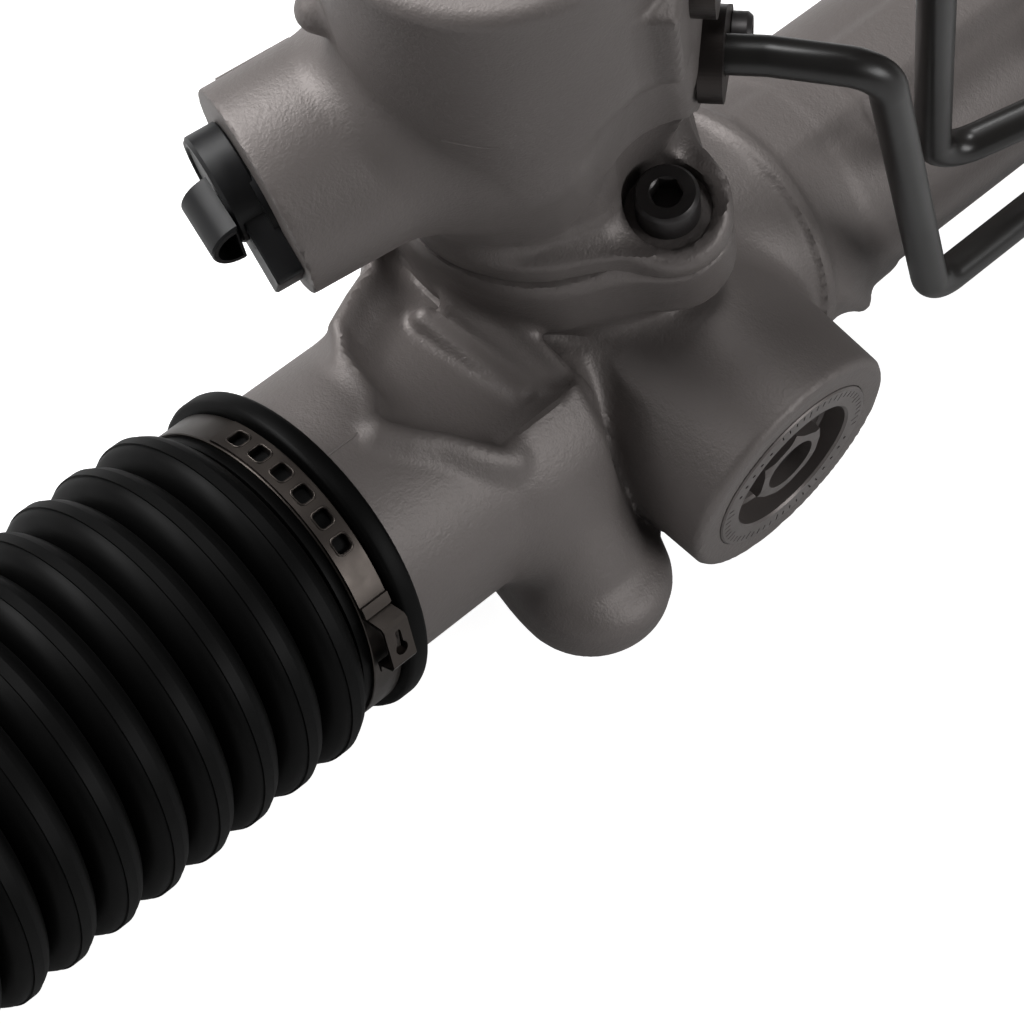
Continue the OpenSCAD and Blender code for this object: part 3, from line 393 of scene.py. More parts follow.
def lathe(profile: list[tuple[float, ...]], place: Place, steps: int,
          closed: bool = False) -> tuple[Array, list]:
    """Turns an outline of (along, radius) points round a place's z.

    Args:
        profile: the outline, in order. A third number is the radius between ribs, where it has ribs.
        place: whose z is the axis.
        steps: how many faces go round.
        closed: whether the outline's end joins its start.

    Returns:
        Points and faces. An outline that isn't closed gets flat ends where it stops off the axis.
    """
    turn = np.arange(steps) * FULL_TURN / steps
    x, y, z = (np.asarray(axis) for axis in (place.x, place.y, place.z))
    out = np.cos(turn)[:, None] * x + np.sin(turn)[:, None] * y
    low = (np.arange(steps) % 2 == 1)[:, None]
    points = np.concatenate([np.asarray(place.origin) + row[0] * z + np.where(low, row[-1], row[1]) * out
                             for row in profile])
    return points, ring_faces(len(profile), steps, closed)


def hex_nut(place: Place, low: float, high: float, corner: float, bore: float) -> tuple[Array, list]:
    """A hexagon nut along a place's z, with a chamfer turned on both faces."""
    steps, face_share, chamfer_slope, edge = 72, 0.9, 0.58, 0.02
    angle = np.arange(steps) * FULL_TURN / steps
    side = corner * math.cos(math.pi / 6) / np.cos((angle + math.pi / 6) % (math.pi / 3) - math.pi / 6)
    face = np.minimum(side, corner * face_share)
    drop = (side - face) * chamfer_slope + edge
    rings = [(low, bore), (low, face), (low + drop, side), (high - drop, side), (high, face), (high, bore)]
    x, y, z = (np.asarray(axis) for axis in (place.x, place.y, place.z))
    out = np.cos(angle)[:, None] * x + np.sin(angle)[:, None] * y
    points = np.concatenate([np.asarray(place.origin) + np.broadcast_to(s, steps)[:, None] * z
                             + np.broadcast_to(r, steps)[:, None] * out for s, r in rings])
    return points, ring_faces(len(rings), steps, closed=True)


def sweep(path: list[Vector], r: float, sides: int = 16, closed: bool = False) -> tuple[Array, list]:
    """A round rod of radius r along a path of points."""
    n = len(path)
    tangents = [(path[(i + 1) % n if closed else min(i + 1, n - 1)]
                 - path[i - 1 if closed else max(i - 1, 0)]).normalized() for i in range(n)]
    normal = tangents[0].orthogonal().normalized()
    points = []
    for p, along in zip(path, tangents):
        normal = (normal - normal.dot(along) * along).normalized()
        side = along.cross(normal)
        points += [tuple(p + r * (c * normal + s * side)) for c, s in circle_points(1, sides)]
    return np.asarray(points), ring_faces(n, sides, closed)


def bent_path(corners: list[Vector], bend_r: float) -> list[Vector]:
    """Points along straight legs that are joined by round bends."""
    path = [corners[0]]
    for a, p, b in zip(corners, corners[1:], corners[2:]):
        u, w = (p - a).normalized(), (b - p).normalized()
        turn = u.angle(w)
        n = (w - w.dot(u) * u).normalized()
        centre = p - u * bend_r * math.tan(turn / 2) + n * bend_r
        steps = max(4, int(math.degrees(turn) / 5))
        path += [centre + bend_r * (math.sin(turn * i / steps) * u - math.cos(turn * i / steps) * n)
                 for i in range(steps + 1)]
    return path + [corners[-1]]


def thread(place: Place, low: float, high: float, major: float, minor: float,
           pitch: float) -> tuple[Array, list]:
    """The helical ridge of a screw thread along a place's z, fading in and out at its ends.

    Args:
        place: whose z is the screw's axis.
        low: where the thread starts along z.
        high: where it ends.
        major: radius of its crest.
        minor: radius of the core that it stands on.
        pitch: distance from one crest to the next.

    Returns:
        Points and faces.
    """
    steps, sunk = 32, 0.1
    ridge = [(0.05, minor - sunk), (0.36, major), (0.5, major), (0.81, minor - sunk)]
    count = int(((high - low) / pitch - 1) * steps)
    points = []
    for i in range(count + 1):
        c, s = math.cos(FULL_TURN * i / steps), math.sin(FULL_TURN * i / steps)
        grow = min(1, 2 * i / steps, 2 * (count - i) / steps)
        for share, r in ridge:
            r = minor - sunk + (r - minor + sunk) * grow
            points.append(tuple(place.point(r * c, r * s, low + pitch * (i / steps + share))))
    return np.asarray(points), ring_faces(count + 1, len(ridge))


def arc_strip(place: Place, span: tuple[float, float], radii: tuple[float, float],
              turn: tuple[float, float]) -> tuple[Array, list]:
    """A flat strip bent round a place's z.

    Args:
        place: whose z is the axis.
        span: its two edges along the axis.
        radii: its inner and outer radius.
        turn: the angles in degrees that it runs between.

    Returns:
        Points and faces.
    """
    steps = max(2, int(abs(turn[1] - turn[0]) / 2))
    corners = [(span[0], radii[0]), (span[1], radii[0]), (span[1], radii[1]), (span[0], radii[1])]
    points = []
    for i in range(steps + 1):
        a = math.radians(turn[0] + (turn[1] - turn[0]) * i / steps)
        points += [tuple(place.point(r * math.cos(a), r * math.sin(a), s)) for s, r in corners]
    return np.asarray(points), ring_faces(steps + 1, len(corners))


def rounded(wide: float, tall: float, r: float) -> list[tuple[float, float]]:
    """Corners of a rectangle about the origin with rounded corners, anticlockwise."""
    corners = []
    for k, (sx, sy) in enumerate(((1, 1), (-1, 1), (-1, -1), (1, -1))):
        for i in range(5):
            a = math.radians(90 * k + 22.5 * i)
            corners.append((sx * (wide / 2 - r) + r * math.cos(a), sy * (tall / 2 - r) + r * math.sin(a)))
    return corners


def outwards(obj: bpy.types.Object) -> None:
    """Turns the faces of a closed mesh to point outwards."""
    work = bmesh.new()
    work.from_mesh(obj.data)
    bmesh.ops.remove_doubles(work, verts=work.verts, dist=1e-7)
    bmesh.ops.recalc_face_normals(work, faces=work.faces)
    work.to_mesh(obj.data)
    work.free()


def joined(parts: list[tuple[Array, list]]) -> tuple[Array, list]:
    """Several meshes as one."""
    points, faces, start = [], [], 0
    for p, f in parts:
        points.append(np.asarray(p, float))
        faces += [[int(i) + start for i in row] for row in f]
        start += len(p)
    return np.vstack(points), faces


def prism(corners: list[tuple[float, float]], low: float, high: float,
          place: Place, chamfer: float = 0) -> tuple[Array, list]:
    """An outline in a place's x and y, raised from low to high along z, with a chamfered top."""
    centre = np.mean(np.asarray(corners, float), 0)
    rings = [(1.0, low), (1.0, high - chamfer)]
    if chamfer:
        span = np.linalg.norm(np.asarray(corners) - centre, axis=1).mean()
        rings.append((1 - chamfer / span, high))
    points = [tuple(place.point(*(centre + share * (np.asarray(c) - centre)), h))
              for share, h in rings for c in corners]
    return np.asarray(points), ring_faces(len(rings), len(corners))


def circle_points(r: float, steps: int, start: float = 0) -> list[tuple[float, float]]:
    """Corners on a circle, anticlockwise from an angle in degrees."""
    return [(r * math.cos(math.radians(start) + FULL_TURN * i / steps),
             r * math.sin(math.radians(start) + FULL_TURN * i / steps)) for i in range(steps)]


def solid(mesh: tuple[Array, list]) -> bpy.types.Object:
    """A closed mesh as a working object whose faces point outwards."""
    obj = make_object("work", *mesh)
    outwards(obj)
    return obj


def cut_by(obj: bpy.types.Object, cutters: list[bpy.types.Object]) -> None:
    """Cuts each cutter out of a piece and removes the cutters."""
    for cutter in cutters:
        tool = obj.modifiers.new("cut", "BOOLEAN")
        tool.operation, tool.solver, tool.object = "DIFFERENCE", "EXACT", cutter
        bpy.context.view_layer.update()
        graph = bpy.context.evaluated_depsgraph_get()
        mesh = bpy.data.meshes.new_from_object(obj.evaluated_get(graph))
        obj.modifiers.clear()
        old, obj.data = obj.data, mesh
        bpy.data.meshes.remove(old)
        bpy.data.objects.remove(cutter)


def piece(name: str, mesh: tuple[Array, list], stock: "Stock", body: str | None,
          nodes: tuple[str, ...] = (), cuts: list[tuple[Array, list]] | None = None,
          sharp: float = 35) -> bpy.types.Object:
    """Makes one dressed piece of closed meshes.

    Args:
        name: the piece's name.
        mesh: its points and faces.
        stock: its finish.
        body: the body that carries it, or None where no body carries it.
        nodes: the CAD nodes that it stands for.
        cuts: closed meshes that are cut out of it.
        sharp: turn in degrees above which an edge shows as sharp.

    Returns:
        The piece.
    """
    obj = make_object(name, *mesh, sharp)
    outwards(obj)
    cut_by(obj, [solid(cut) for cut in cuts or []])
    shade(obj, sharp)
    stock.value.dress(obj)
    if nodes:
        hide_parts(*nodes)
    if body:
        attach(obj, body)
    return obj


# Materials

def linear(colour: str) -> tuple[float, float, float, float]:
    """An sRGB hex colour as the linear numbers that a shader takes."""
    parts = [int(colour[i:i + 2], 16) / 255 for i in (1, 3, 5)]
    return (*[c / 12.92 if c <= 0.04045 else ((c + 0.055) / 1.055) ** 2.4 for c in parts], 1.0)


def add(tree: bpy.types.NodeTree, kind: str, settings: dict[str, Any] | None = None,
        inputs: dict[str | int, Any] | None = None) -> bpy.types.Node:
    """Adds one shader node.

    Args:
        tree: the material's node tree.
        kind: the node's type, without its "ShaderNode" start.
        settings: values of the node's own properties.
        inputs: for each input, a value or an output socket to link.

    Returns:
        The new node.
    """
    node = tree.nodes.new("ShaderNode" + kind)
    for name, value in (settings or {}).items():
        setattr(node, name, value)
    for name, value in (inputs or {}).items():
        if isinstance(value, Socket):
            tree.links.new(value, node.inputs[name])
        else:
            node.inputs[name].default_value = value
    return node


def camera_sees(tree: bpy.types.NodeTree) -> Socket:
    """One where the camera sees a surface, straight or through glass, and zero for other light."""
    path = add(tree, "LightPath")
    return add(tree, "Math", {"operation": "MAXIMUM"},
               {0: path.outputs["Is Camera Ray"], 1: path.outputs["Is Transmission Ray"]}).outputs[0]


def per_mm(size: float) -> float:
    """The scale of a pattern whose features are that many millimetres wide."""
    return 1 / (size * MM)


@dataclass(frozen=True)
class Finish:
    """A surface with fine grain, broad variation of shade, and softened edges.

    Args:
        name: the finish in a maker's words, which is also the material's name.
        slot: the record's material slot.
        colour: main colour.
        worn: colour that it shades to in broad patches.
        metallic: how much of a metal it is.
        roughness: mean roughness.
        grain: width of the fine grain, in mm.
        depth: height of the fine grain, in mm.
        patch: width of the broad patches, in mm.
        spread: how far roughness strays in the patches.
        coat: weight of a clear coat or oil film.
        specular: level of the non-metal gloss.
        sheen: weight of the soft edge light that matte rubber has.
    """

    name: str
    slot: str
    colour: str
    worn: str
    metallic: float = 0
    roughness: float = 0.5
    grain: float = 0.6
    depth: float = 0.01
    patch: float = 30
    spread: float = 0.06
    coat: float = 0
    specular: float = 0.5
    sheen: float = 0

    def relief(self, tree: bpy.types.NodeTree, place: Socket) -> Socket:
        """Height of the surface in mm: plain grain here, more in the finishes below."""
        grain = add(tree, "TexNoise", None, {"Vector": place, "Scale": per_mm(self.grain), "Detail": 3.0})
        return add(tree, "Math", {"operation": "MULTIPLY"},
                   {0: grain.outputs["Fac"], 1: self.depth}).outputs[0]

    def shade_of(self, tree: bpy.types.NodeTree, place: Socket) -> tuple[Socket, Socket]:
        """Colour and roughness over the surface."""
        patch = add(tree, "TexNoise", None, {"Vector": place, "Scale": per_mm(self.patch), "Detail": 5.0})
        mix = add(tree, "Mix", {"data_type": "RGBA"},
                  {0: patch.outputs["Fac"], 6: linear(self.colour), 7: linear(self.worn)})
        rough = add(tree, "MapRange", None,
                    {0: patch.outputs["Fac"], 1: 0.3, 2: 0.7, 3: self.roughness - self.spread,
                     4: self.roughness + self.spread})
        return mix.outputs[2], rough.outputs[0]

    def material(self) -> bpy.types.Material:
        """Builds the material, or finds it if it is there already."""
        made = bpy.data.materials.get(self.name)
        if made:
            return made
        made = bpy.data.materials.new(self.name)
        made.use_nodes = True
        tree = made.node_tree
        shader = tree.nodes["Principled BSDF"]
        place = add(tree, "TexCoord").outputs["Object"]
        colour, rough = self.shade_of(tree, place)
        height = self.relief(tree, place)
        bump = add(tree, "Bump", None, {"Height": height, "Distance": MM, "Strength": 1.0})
        tree.links.new(colour, shader.inputs["Base Color"])
        tree.links.new(rough, shader.inputs["Roughness"])
        tree.links.new(bump.outputs["Normal"], shader.inputs["Normal"])
        shader.inputs["Metallic"].default_value = self.metallic
        shader.inputs["Specular IOR Level"].default_value = self.specular
        shader.inputs["Coat Weight"].default_value = self.coat
        shader.inputs["Coat Roughness"].default_value = 0.25
        shader.inputs["Sheen Weight"].default_value = self.sheen
        shader.inputs["Sheen Roughness"].default_value = 0.6
        return made

    def dress(self, obj: bpy.types.Object) -> None:
        """Puts the finish on a piece."""
        obj.data.materials.clear()
        obj.data.materials.append(self.material())


@dataclass(frozen=True)
class SandCast(Finish):
    """Shot-blasted sand casting: fine pits over slow waves, so highlights are broad and speckled.

    Args:
        wave: width of the slow waves that the mould leaves, in mm.
        wave_height: their height, in mm.
    """

    wave: float = 14
    wave_height: float = 0.10

    def relief(self, tree: bpy.types.NodeTree, place: Socket) -> Socket:
        """Pits, coarser orange-peel and slow waves added up."""
        total: Socket | None = None
        for width, height in ((self.grain, self.depth), (self.grain * 2.6, self.depth * 1.2),
                              (self.wave, self.wave_height)):
            noise = add(tree, "TexNoise", None, {"Vector": place, "Scale": per_mm(width), "Detail": 2.0})
            part = add(tree, "Math", {"operation": "MULTIPLY"}, {0: noise.outputs["Fac"], 1: height})
            total = part.outputs[0] if total is None else add(
                tree, "Math", {"operation": "ADD"}, {0: total, 1: part.outputs[0]}).outputs[0]
        return total


class Stock(Enum):
    """The finishes of this gear, by the record's slot."""

    # Shot-blasted and dipped grey: broad soft highlights with a fine speckle
    CAST = SandCast("shot_blasted_grey_casting", "cast_alloy", "#6a6462", "#5d5856", metallic=0.4,
                    roughness=0.52, grain=0.5, depth=0.08, patch=45, spread=0.04)
    # Chemically blackened steel: dark, with a tight satin gloss
    BLACK_OXIDE = Finish("black_oxide_steel", "black_oxide", "#2b2929", "#353232", metallic=0.5,
                         roughness=0.4, grain=0.25, depth=0.004, patch=6)
    # Moulded nitrile: near black and half matte, so it reads as rubber beside steel
    NITRILE = Finish("moulded_nitrile_rubber", "nitrile_rubber", "#0c0c0c", "#141414", roughness=0.55,
                     grain=0.3, depth=0.004)
    # Die-cast zinc, turned on its face: light grey
    ZINC = Finish("turned_zinc_plug", "zinc_plug", "#6a6462", "#585351", metallic=0.5, roughness=0.42,
                  grain=0.35, depth=0.006, patch=12)
    # Ground steel: even and bright, with a tight highlight along the shaft
    GROUND = Finish("ground_carbon_steel", "ground_steel", "#a9aaac", "#8c8e91", metallic=1,
                    roughness=0.26, grain=0.2, depth=0.002)
    # Lapped rings and balls: the brightest and sharpest reflections on the gear
    BEARING = Finish("lapped_bearing_steel", "bearing_steel", "#c4c6c8", "#b4b6b9", metallic=1,
                     roughness=0.14, grain=0.2, depth=0.0005)
    # Oiled wire: mid grey with a soft line of light along each turn
    SPRING = Finish("oiled_spring_steel", "spring_steel", "#6f7073", "#5a5b5e", metallic=1,
                    roughness=0.34, grain=0.2, depth=0.002)
    # Cut acetal: warm ivory, with a broad dull highlight
    PLASTIC = Finish("cut_acetal_plastic", "sliding_plastic", "#dcd7ca", "#d0cabb", roughness=0.42,
                     grain=0.3, depth=0.003)
    # Turned steel: grey metal with a satin gloss
    BUSH = Finish("turned_steel_bush", "steel_bush", "#8b8c8f", "#77787b", metallic=1, roughness=0.3,
                  grain=0.25, depth=0.003)
    # Turned aluminium: pale and satin, lighter than the bushes
    YOKE = Finish("turned_aluminium_yoke", "cast_yoke", "#9b9c9e", "#8a8b8d", metallic=1,
                  roughness=0.38, grain=0.3, depth=0.004)
    # Glass-filled nylon from a spark-eroded mould: near black, fine even texture
    NYLON = Finish("moulded_black_nylon", "connector_plastic", "#0b0b0c", "#101012", roughness=0.45,
                   grain=0.22, depth=0.006, patch=9, specular=0.3)
    # Moulded rubber: matte near black that shows its form only by soft shade
    CAP_RUBBER = Finish("moulded_cap_rubber", "dust_cap_rubber", "#0d0d0d", "#151515", roughness=0.6,
                        grain=0.35, depth=0.006)
    # Nylon-coated steel tube: smooth black with a soft long highlight
    LINE = Finish("nylon_coated_steel_line", "coated_line", "#131211", "#1a1817", roughness=0.34,
                  grain=0.8, depth=0.004, coat=0.1, specular=0.35)
    # Plated sheet: dark brown-grey metal that shifts in small clouds
    PLATE = Finish("zinc_nickel_plate", "plated_plate", "#2a2625", "#383331", metallic=0.8,
                   roughness=0.38, grain=0.3, depth=0.004, patch=8)
    # Phosphated forging: dark and dull, with a slightly grainy skin
    FORGED = Finish("phosphated_forged_steel", "forged_steel", "#3f3e3f", "#4c4a4a", metallic=0.7,
                    roughness=0.5, grain=0.5, depth=0.012)
    # Zinc plate: light grey metal whose flats catch one clear highlight each
    NUT = Finish("zinc_plated_nut", "plated_nut", "#a7a9ac", "#93969b", metallic=1, roughness=0.32,
                 grain=0.3, depth=0.003)
    # Moulded neoprene: deep black, matte, with a faint bloom where it turns away
    BOOT = Finish("moulded_neoprene_boot", "boot_rubber", "#010101", "#030303", roughness=0.5,
                  grain=0.4, depth=0.005, patch=25, spread=0.05, specular=0.07, sheen=0.003)
    # Rolled stainless strip with a brown temper film: it stays brown-grey, and only its edges catch light
    STAINLESS = Finish("rolled_stainless_band", "stainless_band", "#45403d", "#3a3633", metallic=1,
                       roughness=0.4, grain=0.25, depth=0.002, patch=7)


# Sub-assemblies

@dataclass(frozen=True)
class Joint:
    """The bolted joint between the two castings: a round flange with two screw lugs."""

    height: float = 50
    flange_r: float = 29.5
    lug_r: float = 13
    screw_turn: float = -76
    screw_ring: float = 30.5
    thread_r: float = 4
    thread_depth: float = 17
    lug_root: float = 15
    lug_fillet: float = 8
    edge: float = 1.2

    def turns(self) -> tuple[float, float]:
        """Angles of the two screws about the pinion."""
        return self.screw_turn, self.screw_turn + 180

    def screw(self, turn: float) -> Place:
        """The axis of a joint screw, at an angle about the pinion."""
        a = math.radians(turn)
        return PINION.moved(self.screw_ring * math.cos(a), self.screw_ring * math.sin(a), 0)

    def flange(self, points: Array, low: float, high: float) -> Array:
        """Distances to the flange between two heights."""
        x, y, z = PINION.local(points)
        side = np.hypot(x, y) - self.flange_r
        for turn in self.turns():
            a = math.radians(turn)
            along = x * math.cos(a) + y * math.sin(a)
            across = y * math.cos(a) - x * math.sin(a)
            reach = self.screw_ring - self.lug_root
            share = np.clip((along - self.lug_root) / reach, 0, 1)
            lug = np.hypot(along - self.lug_root - share * reach, across) - self.lug_r - 2 + 2 * share
            side = round_either(side, lug, self.lug_fillet)
        return round_both(side, np.abs(z - (low + high) / 2) - (high - low) / 2, self.edge)


@dataclass(frozen=True)
class Route:
    """Where the two steel lines run, from their ports on the tower to those on the cylinder.

    Args:
        turn: angle of the tower's ports about the pinion.
        reach: how far the face that they open in stands from the pinion's axis.
        plate: thickness of the plates that hold the lines in them.
        ports: heights of the lower and the upper port along the pinion.
        outer_run: Y and Z of the front line along the tube.
        inner_run: Y and Z of the back line along the tube.
        cylinder_ports: where the back and the front line enter the cylinder, along the rack.
    """

    turn: float = -50
    reach: float = 34.6
    plate: float = 4.8
    ports: tuple[float, float] = (96, 129)
    outer_run: tuple[float, float] = (-41, 3)
    inner_run: tuple[float, float] = (-27.5, 28)
    cylinder_ports: tuple[float, float] = (122, 286)

    def cylinder_places(self) -> list[Place]:
        """Places on the rack's axis under the cylinder's ports, whose z points out through them."""
        places = []
        for x, run in zip(self.cylinder_ports, (self.inner_run, self.outer_run)):
            away = Vector((0, *run)).normalized()
            side = Vector((1, 0, 0)).cross(away)
            places.append(Place((x, 0, 0), (1, 0, 0), tuple(side), tuple(away)))
        return places


@dataclass
class RackHousing:
    """The cast rack housing with its neck, yoke boss, pinion boss, lugs and cylinder tube.

    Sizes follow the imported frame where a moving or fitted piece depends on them. The rim, the
    pocket and the ridge are outlines as seen from above; the ridge also has its heights.
    """

    joint: Joint = Joint()
    route: Route = Route()
    neck_r: float = 31.5
    neck_end: float = -108.5
    neck_stop: float = -36
    waist_r: float = 22.8
    crossing_r: float = 30.8
    crossing: tuple[float, float] = (5, 34)
    cone: tuple[float, float] = (33, 60)
    tube_r: float = 28.5
    tube_start: float = 50
    tube_end: float = 336
    collar: float = 8
    fillet: float = 3
    past: float = 2
    bore_r: float = 17
    cylinder_r: float = 22
    cylinder_start: float = 94
    recess_r: float = 23
    recess: float = 18
    boot_seat: float = 17
    pinion_foot: tuple[float, float] = (-46, -6)
    pinion_foot_r: float = 19
    pinion_boss_r: float = 28
    pinion_bores: tuple[tuple[float, float, float], ...] = ((-48, 30, 12), (-24, 40, 13.1),
                                                            (24, 70, 22))
    flange: float = 15
    yoke_boss_r: float = 28
    yoke_reach: float = 52
    yoke_bore_r: float = 17.05
    plug_r: float = 21.5
    plug_back: float = 40
    lug_bottom: float = -30
    lug_r: float = 17
    left_lug: tuple[float, float] = (-39, -35)
    right_lug: tuple[float, float] = (228, -43)
    right_lug_top: float = -4
    right_lug_foot: float = 16
    line_boss_r: float = 9.5
    bolt_r: float = 5.1
    bolt_depth: float = 20
    rim_top: float = 29.5
    rim: tuple[tuple[float, float], ...] = (
        (-76.5, -1), (-60, -8), (-30, -8), (-30, 36), (-46, 33.5), (-50.5, 29), (-58, 26.5),
        (-65.5, 23.5), (-70.5, 16), (-73.5, 5))
    pocket: tuple[tuple[float, float], ...] = (
        (-70, 13), (-71.6, 5), (-75.6, 0), (-75.2, -4), (-71.8, -8.2), (-67.2, -12.2),
        (-63.6, -16.4), (-59.9, -20.3), (-57.8, -21.4), (-54.5, -20.9), (-50, -20.4), (-40, -19.8),
        (-34, -18.5), (-12, -17), (-12, 36), (-44, 33), (-49, 27), (-57, 24), (-64.5, 21),
        (-69, 16.5))
    ridge: tuple[tuple[float, float, float], ...] = (
        (-77, -4, 33), (-72.9, -8.8, 32), (-68.2, -12.6, 30.6), (-64.7, -16.8, 28.6), (-60.8, -20.7, 25.9),
        (-57, -23, 23.4))
    ridge_r: float = 2.8
    ribs: tuple[tuple, ...] = (((-47, 14, 23.4), (-43.4, -10, 20.6), 2.6, 2.2),
                               ((-41, 11, 26.8), (-37.6, -13, 20.2), 3.4, 2.6),
                               ((-36.5, 5, 28.6), (-33.2, -19, 20.6), 2, 1.6))
    rib_fillet: float = 2.5
    pocket_right: float = -10
    floor_height: float = 21.3
    floor_rise: float = 11
    cell: float = 1.1

    def pocket_floor(self, x: Array, y: Array) -> Array:
        """Height of the pocket's floor, which rises smoothly to the ridge round it."""
        near = np.maximum(self.floor_rise + np.minimum(outline(x, y, list(self.pocket)), 0), 0)
        steep = 0.03 + 0.035 * np.clip((-56 - x) / 14, 0, 1)
        return self.floor_height - 0.03 * (x + 55) + steep * near ** 2 + 0.05 * np.maximum(y, 0)

    def ridge_form(self, points: Array) -> Array:
        """Distances to the rounded ridge between the pocket and the neck's flank."""
        ridge = Casting(points)
        spots = [(x, *(v * (1 - self.ridge_r / math.hypot(y, z)) for v in (y, z)))
                 for x, y, z in self.ridge]
        for a, b in zip(spots, spots[1:]):
            ridge.add(finger(points, a, b, self.ridge_r, self.ridge_r))
        return ridge.distance

    def neck(self, points: Array) -> Casting:
        """The neck and the crossing's cones, with the rimmed pocket sunk into them."""
        x, y, z = UPRIGHT.local(points)
        cast = Casting(points)
        left, right = self.crossing
        cast.add(bar(points, RACK, self.neck_end, self.neck_stop, self.neck_r, edge=1))
        cast.add(bar(points, RACK, self.neck_stop - 2, left + 1, self.waist_r), 4)
        cast.add(bar(points, RACK, left, right, 29.5, self.crossing_r), self.fillet)
        if x.min() < self.pocket_right:
            cast.add(self.ridge_form(points), 3.5)
            rim = round_both(outline(x, y, list(self.rim)), np.abs(z - 12) - self.rim_top + 12, 2.2)
            cast.add(rim, 4)
            cast.add(self.left_lobe(points), 5.5)
            sunk = round_both(outline(x, y, list(self.pocket)), self.pocket_floor(x, y) - z, 6)
            cast.cut(sunk, 2.4)
        return cast

    def left_lobe(self, points: Array) -> Array:
        """The mounting lobe: a column that leans out from the pocket's lip down to its round foot."""
        x, y, z = UPRIGHT.local(points)
        share = np.clip((25 - z) / 47, 0, 1)
        bend, across = 3 - share, np.abs(x + 44.5 - 5.5 * share ** 2)
        reach = (across ** bend + np.maximum(-9.8 - 25.2 * share - y, 0) ** bend) ** (1 / bend)
        side = (reach - 13 - 1.5 * share ** 2) / 1.1
        top = np.maximum(z - self.pocket_floor(x, y) - 1, 0.917 * (z - 24) - 0.4 * (y + 16.5))
        column = round_both(round_both(side, top, 4), np.maximum(self.lug_bottom - z, y - 2), 0)
        foot = UPRIGHT.moved(*self.left_lug, 0)
        return round_either(column, bar(points, foot, self.lug_bottom, -17.5, self.lug_r, edge=5), 5)

    def form(self, points: Array) -> Array:
        """Distances to the whole casting."""
        cast = self.neck(points)
        if points[:, 0].min() < self.pocket_right:
            for rib in self.ribs:
                cast.add(finger(points, *rib), self.rib_fillet)
        cast.add(bar(points, RACK, *self.cone, self.crossing_r, self.tube_r), self.fillet)
        cast.add(bar(points, RACK, self.tube_start, self.tube_end, self.tube_r, edge=1), self.fillet)
        seat = self.tube_end - self.boot_seat
        cast.add(bar(points, RACK, seat - self.collar, seat + 0.2, self.tube_r, self.neck_r), 2)
        cast.add(bar(points, RACK, seat, self.tube_end, self.neck_r, edge=1))
        tower = Casting(points)
        top = self.joint.height
        tower.add(bar(points, PINION, *self.pinion_foot, self.pinion_foot_r, edge=1.5))
        tower.add(bar(points, PINION, self.pinion_foot[1] - 6, top, self.pinion_boss_r), 7)
        tower.add(self.joint.flange(points, top - self.flange, top), 12)
        tower.add(bar(points, YOKE, 0, self.yoke_reach, self.yoke_boss_r + 1.5, self.yoke_boss_r,
                      edge=2), 9)
        cast.add(tower.distance, self.fillet)
        self.right_side(cast)
        self.cuts(cast)
        return cast.distance

    def right_side(self, cast: Casting) -> None:
        """Lug, line bosses and stiffening rib along the cylinder tube."""
        points = cast.points
        cx, cy = self.right_lug
        foot = bar(points, UPRIGHT.moved(cx, cy, 0), self.lug_bottom,
                   self.lug_bottom + self.right_lug_foot, self.lug_r, edge=3)
        middle = (self.right_lug_top + self.lug_bottom) / 2
        half = (self.right_lug_top - self.lug_bottom) / 2
        web = block(points, UPRIGHT, (cx - 2, cy / 2 + 2, middle), (self.lug_r - 1, -cy / 2 - 2, half), 5)
        cast.add(round_either(foot, web, 6), 6)
        for place in self.route.cylinder_places():
            cast.add(bar(points, place, 20, self.tube_r + 7, self.line_boss_r, edge=0.8), 4)
        cast.add(block(points, UPRIGHT, (78, 0, self.tube_r - 3), (48, 8, 3.5), 2.5), self.fillet)
        cast.add(finger(points, (40, -27.5, 2), (51, -28, -11), 3, 2.5), self.fillet)

    def cuts(self, cast: Casting) -> None:
        """Bores, recesses and machined faces."""
        points = cast.points
        left, right = self.neck_end, self.tube_end
        for low, high, r in ((left - self.past, self.cylinder_start + 1, self.bore_r),
                             (left - self.past, left + self.recess, self.recess_r),
                             (self.cylinder_start, right + self.past, self.cylinder_r),
                             (right - self.recess, right + self.past, self.recess_r)):
            cast.cut(bar(points, RACK, low, high, r))
        face = self.yoke_reach + self.past
        cast.cut(bar(points, YOKE, 0, face, self.yoke_bore_r))
        cast.cut(bar(points, YOKE, self.plug_back - 0.5, face, self.plug_r), 0.4)
        for low, high, r in self.pinion_bores:
            cast.cut(bar(points, PINION, low, high, r))
        low = self.lug_bottom
        for x, y in (self.left_lug, self.right_lug):
            cast.cut(bar(points, UPRIGHT.moved(x, y, 0), low - self.past, low + self.bolt_depth,
                         self.bolt_r), 0.6)
        top = self.joint.height
        for turn in self.joint.turns():
            cast.cut(bar(points, self.joint.screw(turn), top - self.joint.thread_depth,
                         top + self.past, self.joint.thread_r))

    def build(self) -> bpy.types.Object:
        """Builds the casting, dresses it and puts it in the CAD casting's place."""
        low, high = (np.array(v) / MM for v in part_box("rack_housing"))
        points, faces = Skin(self.form, low - 2, high + 2, self.cell).mesh()
        obj = make_object("rack_casting", points, faces, 32)
        Stock.CAST.value.dress(obj)
        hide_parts("rack_housing")
        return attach(obj, "housing")


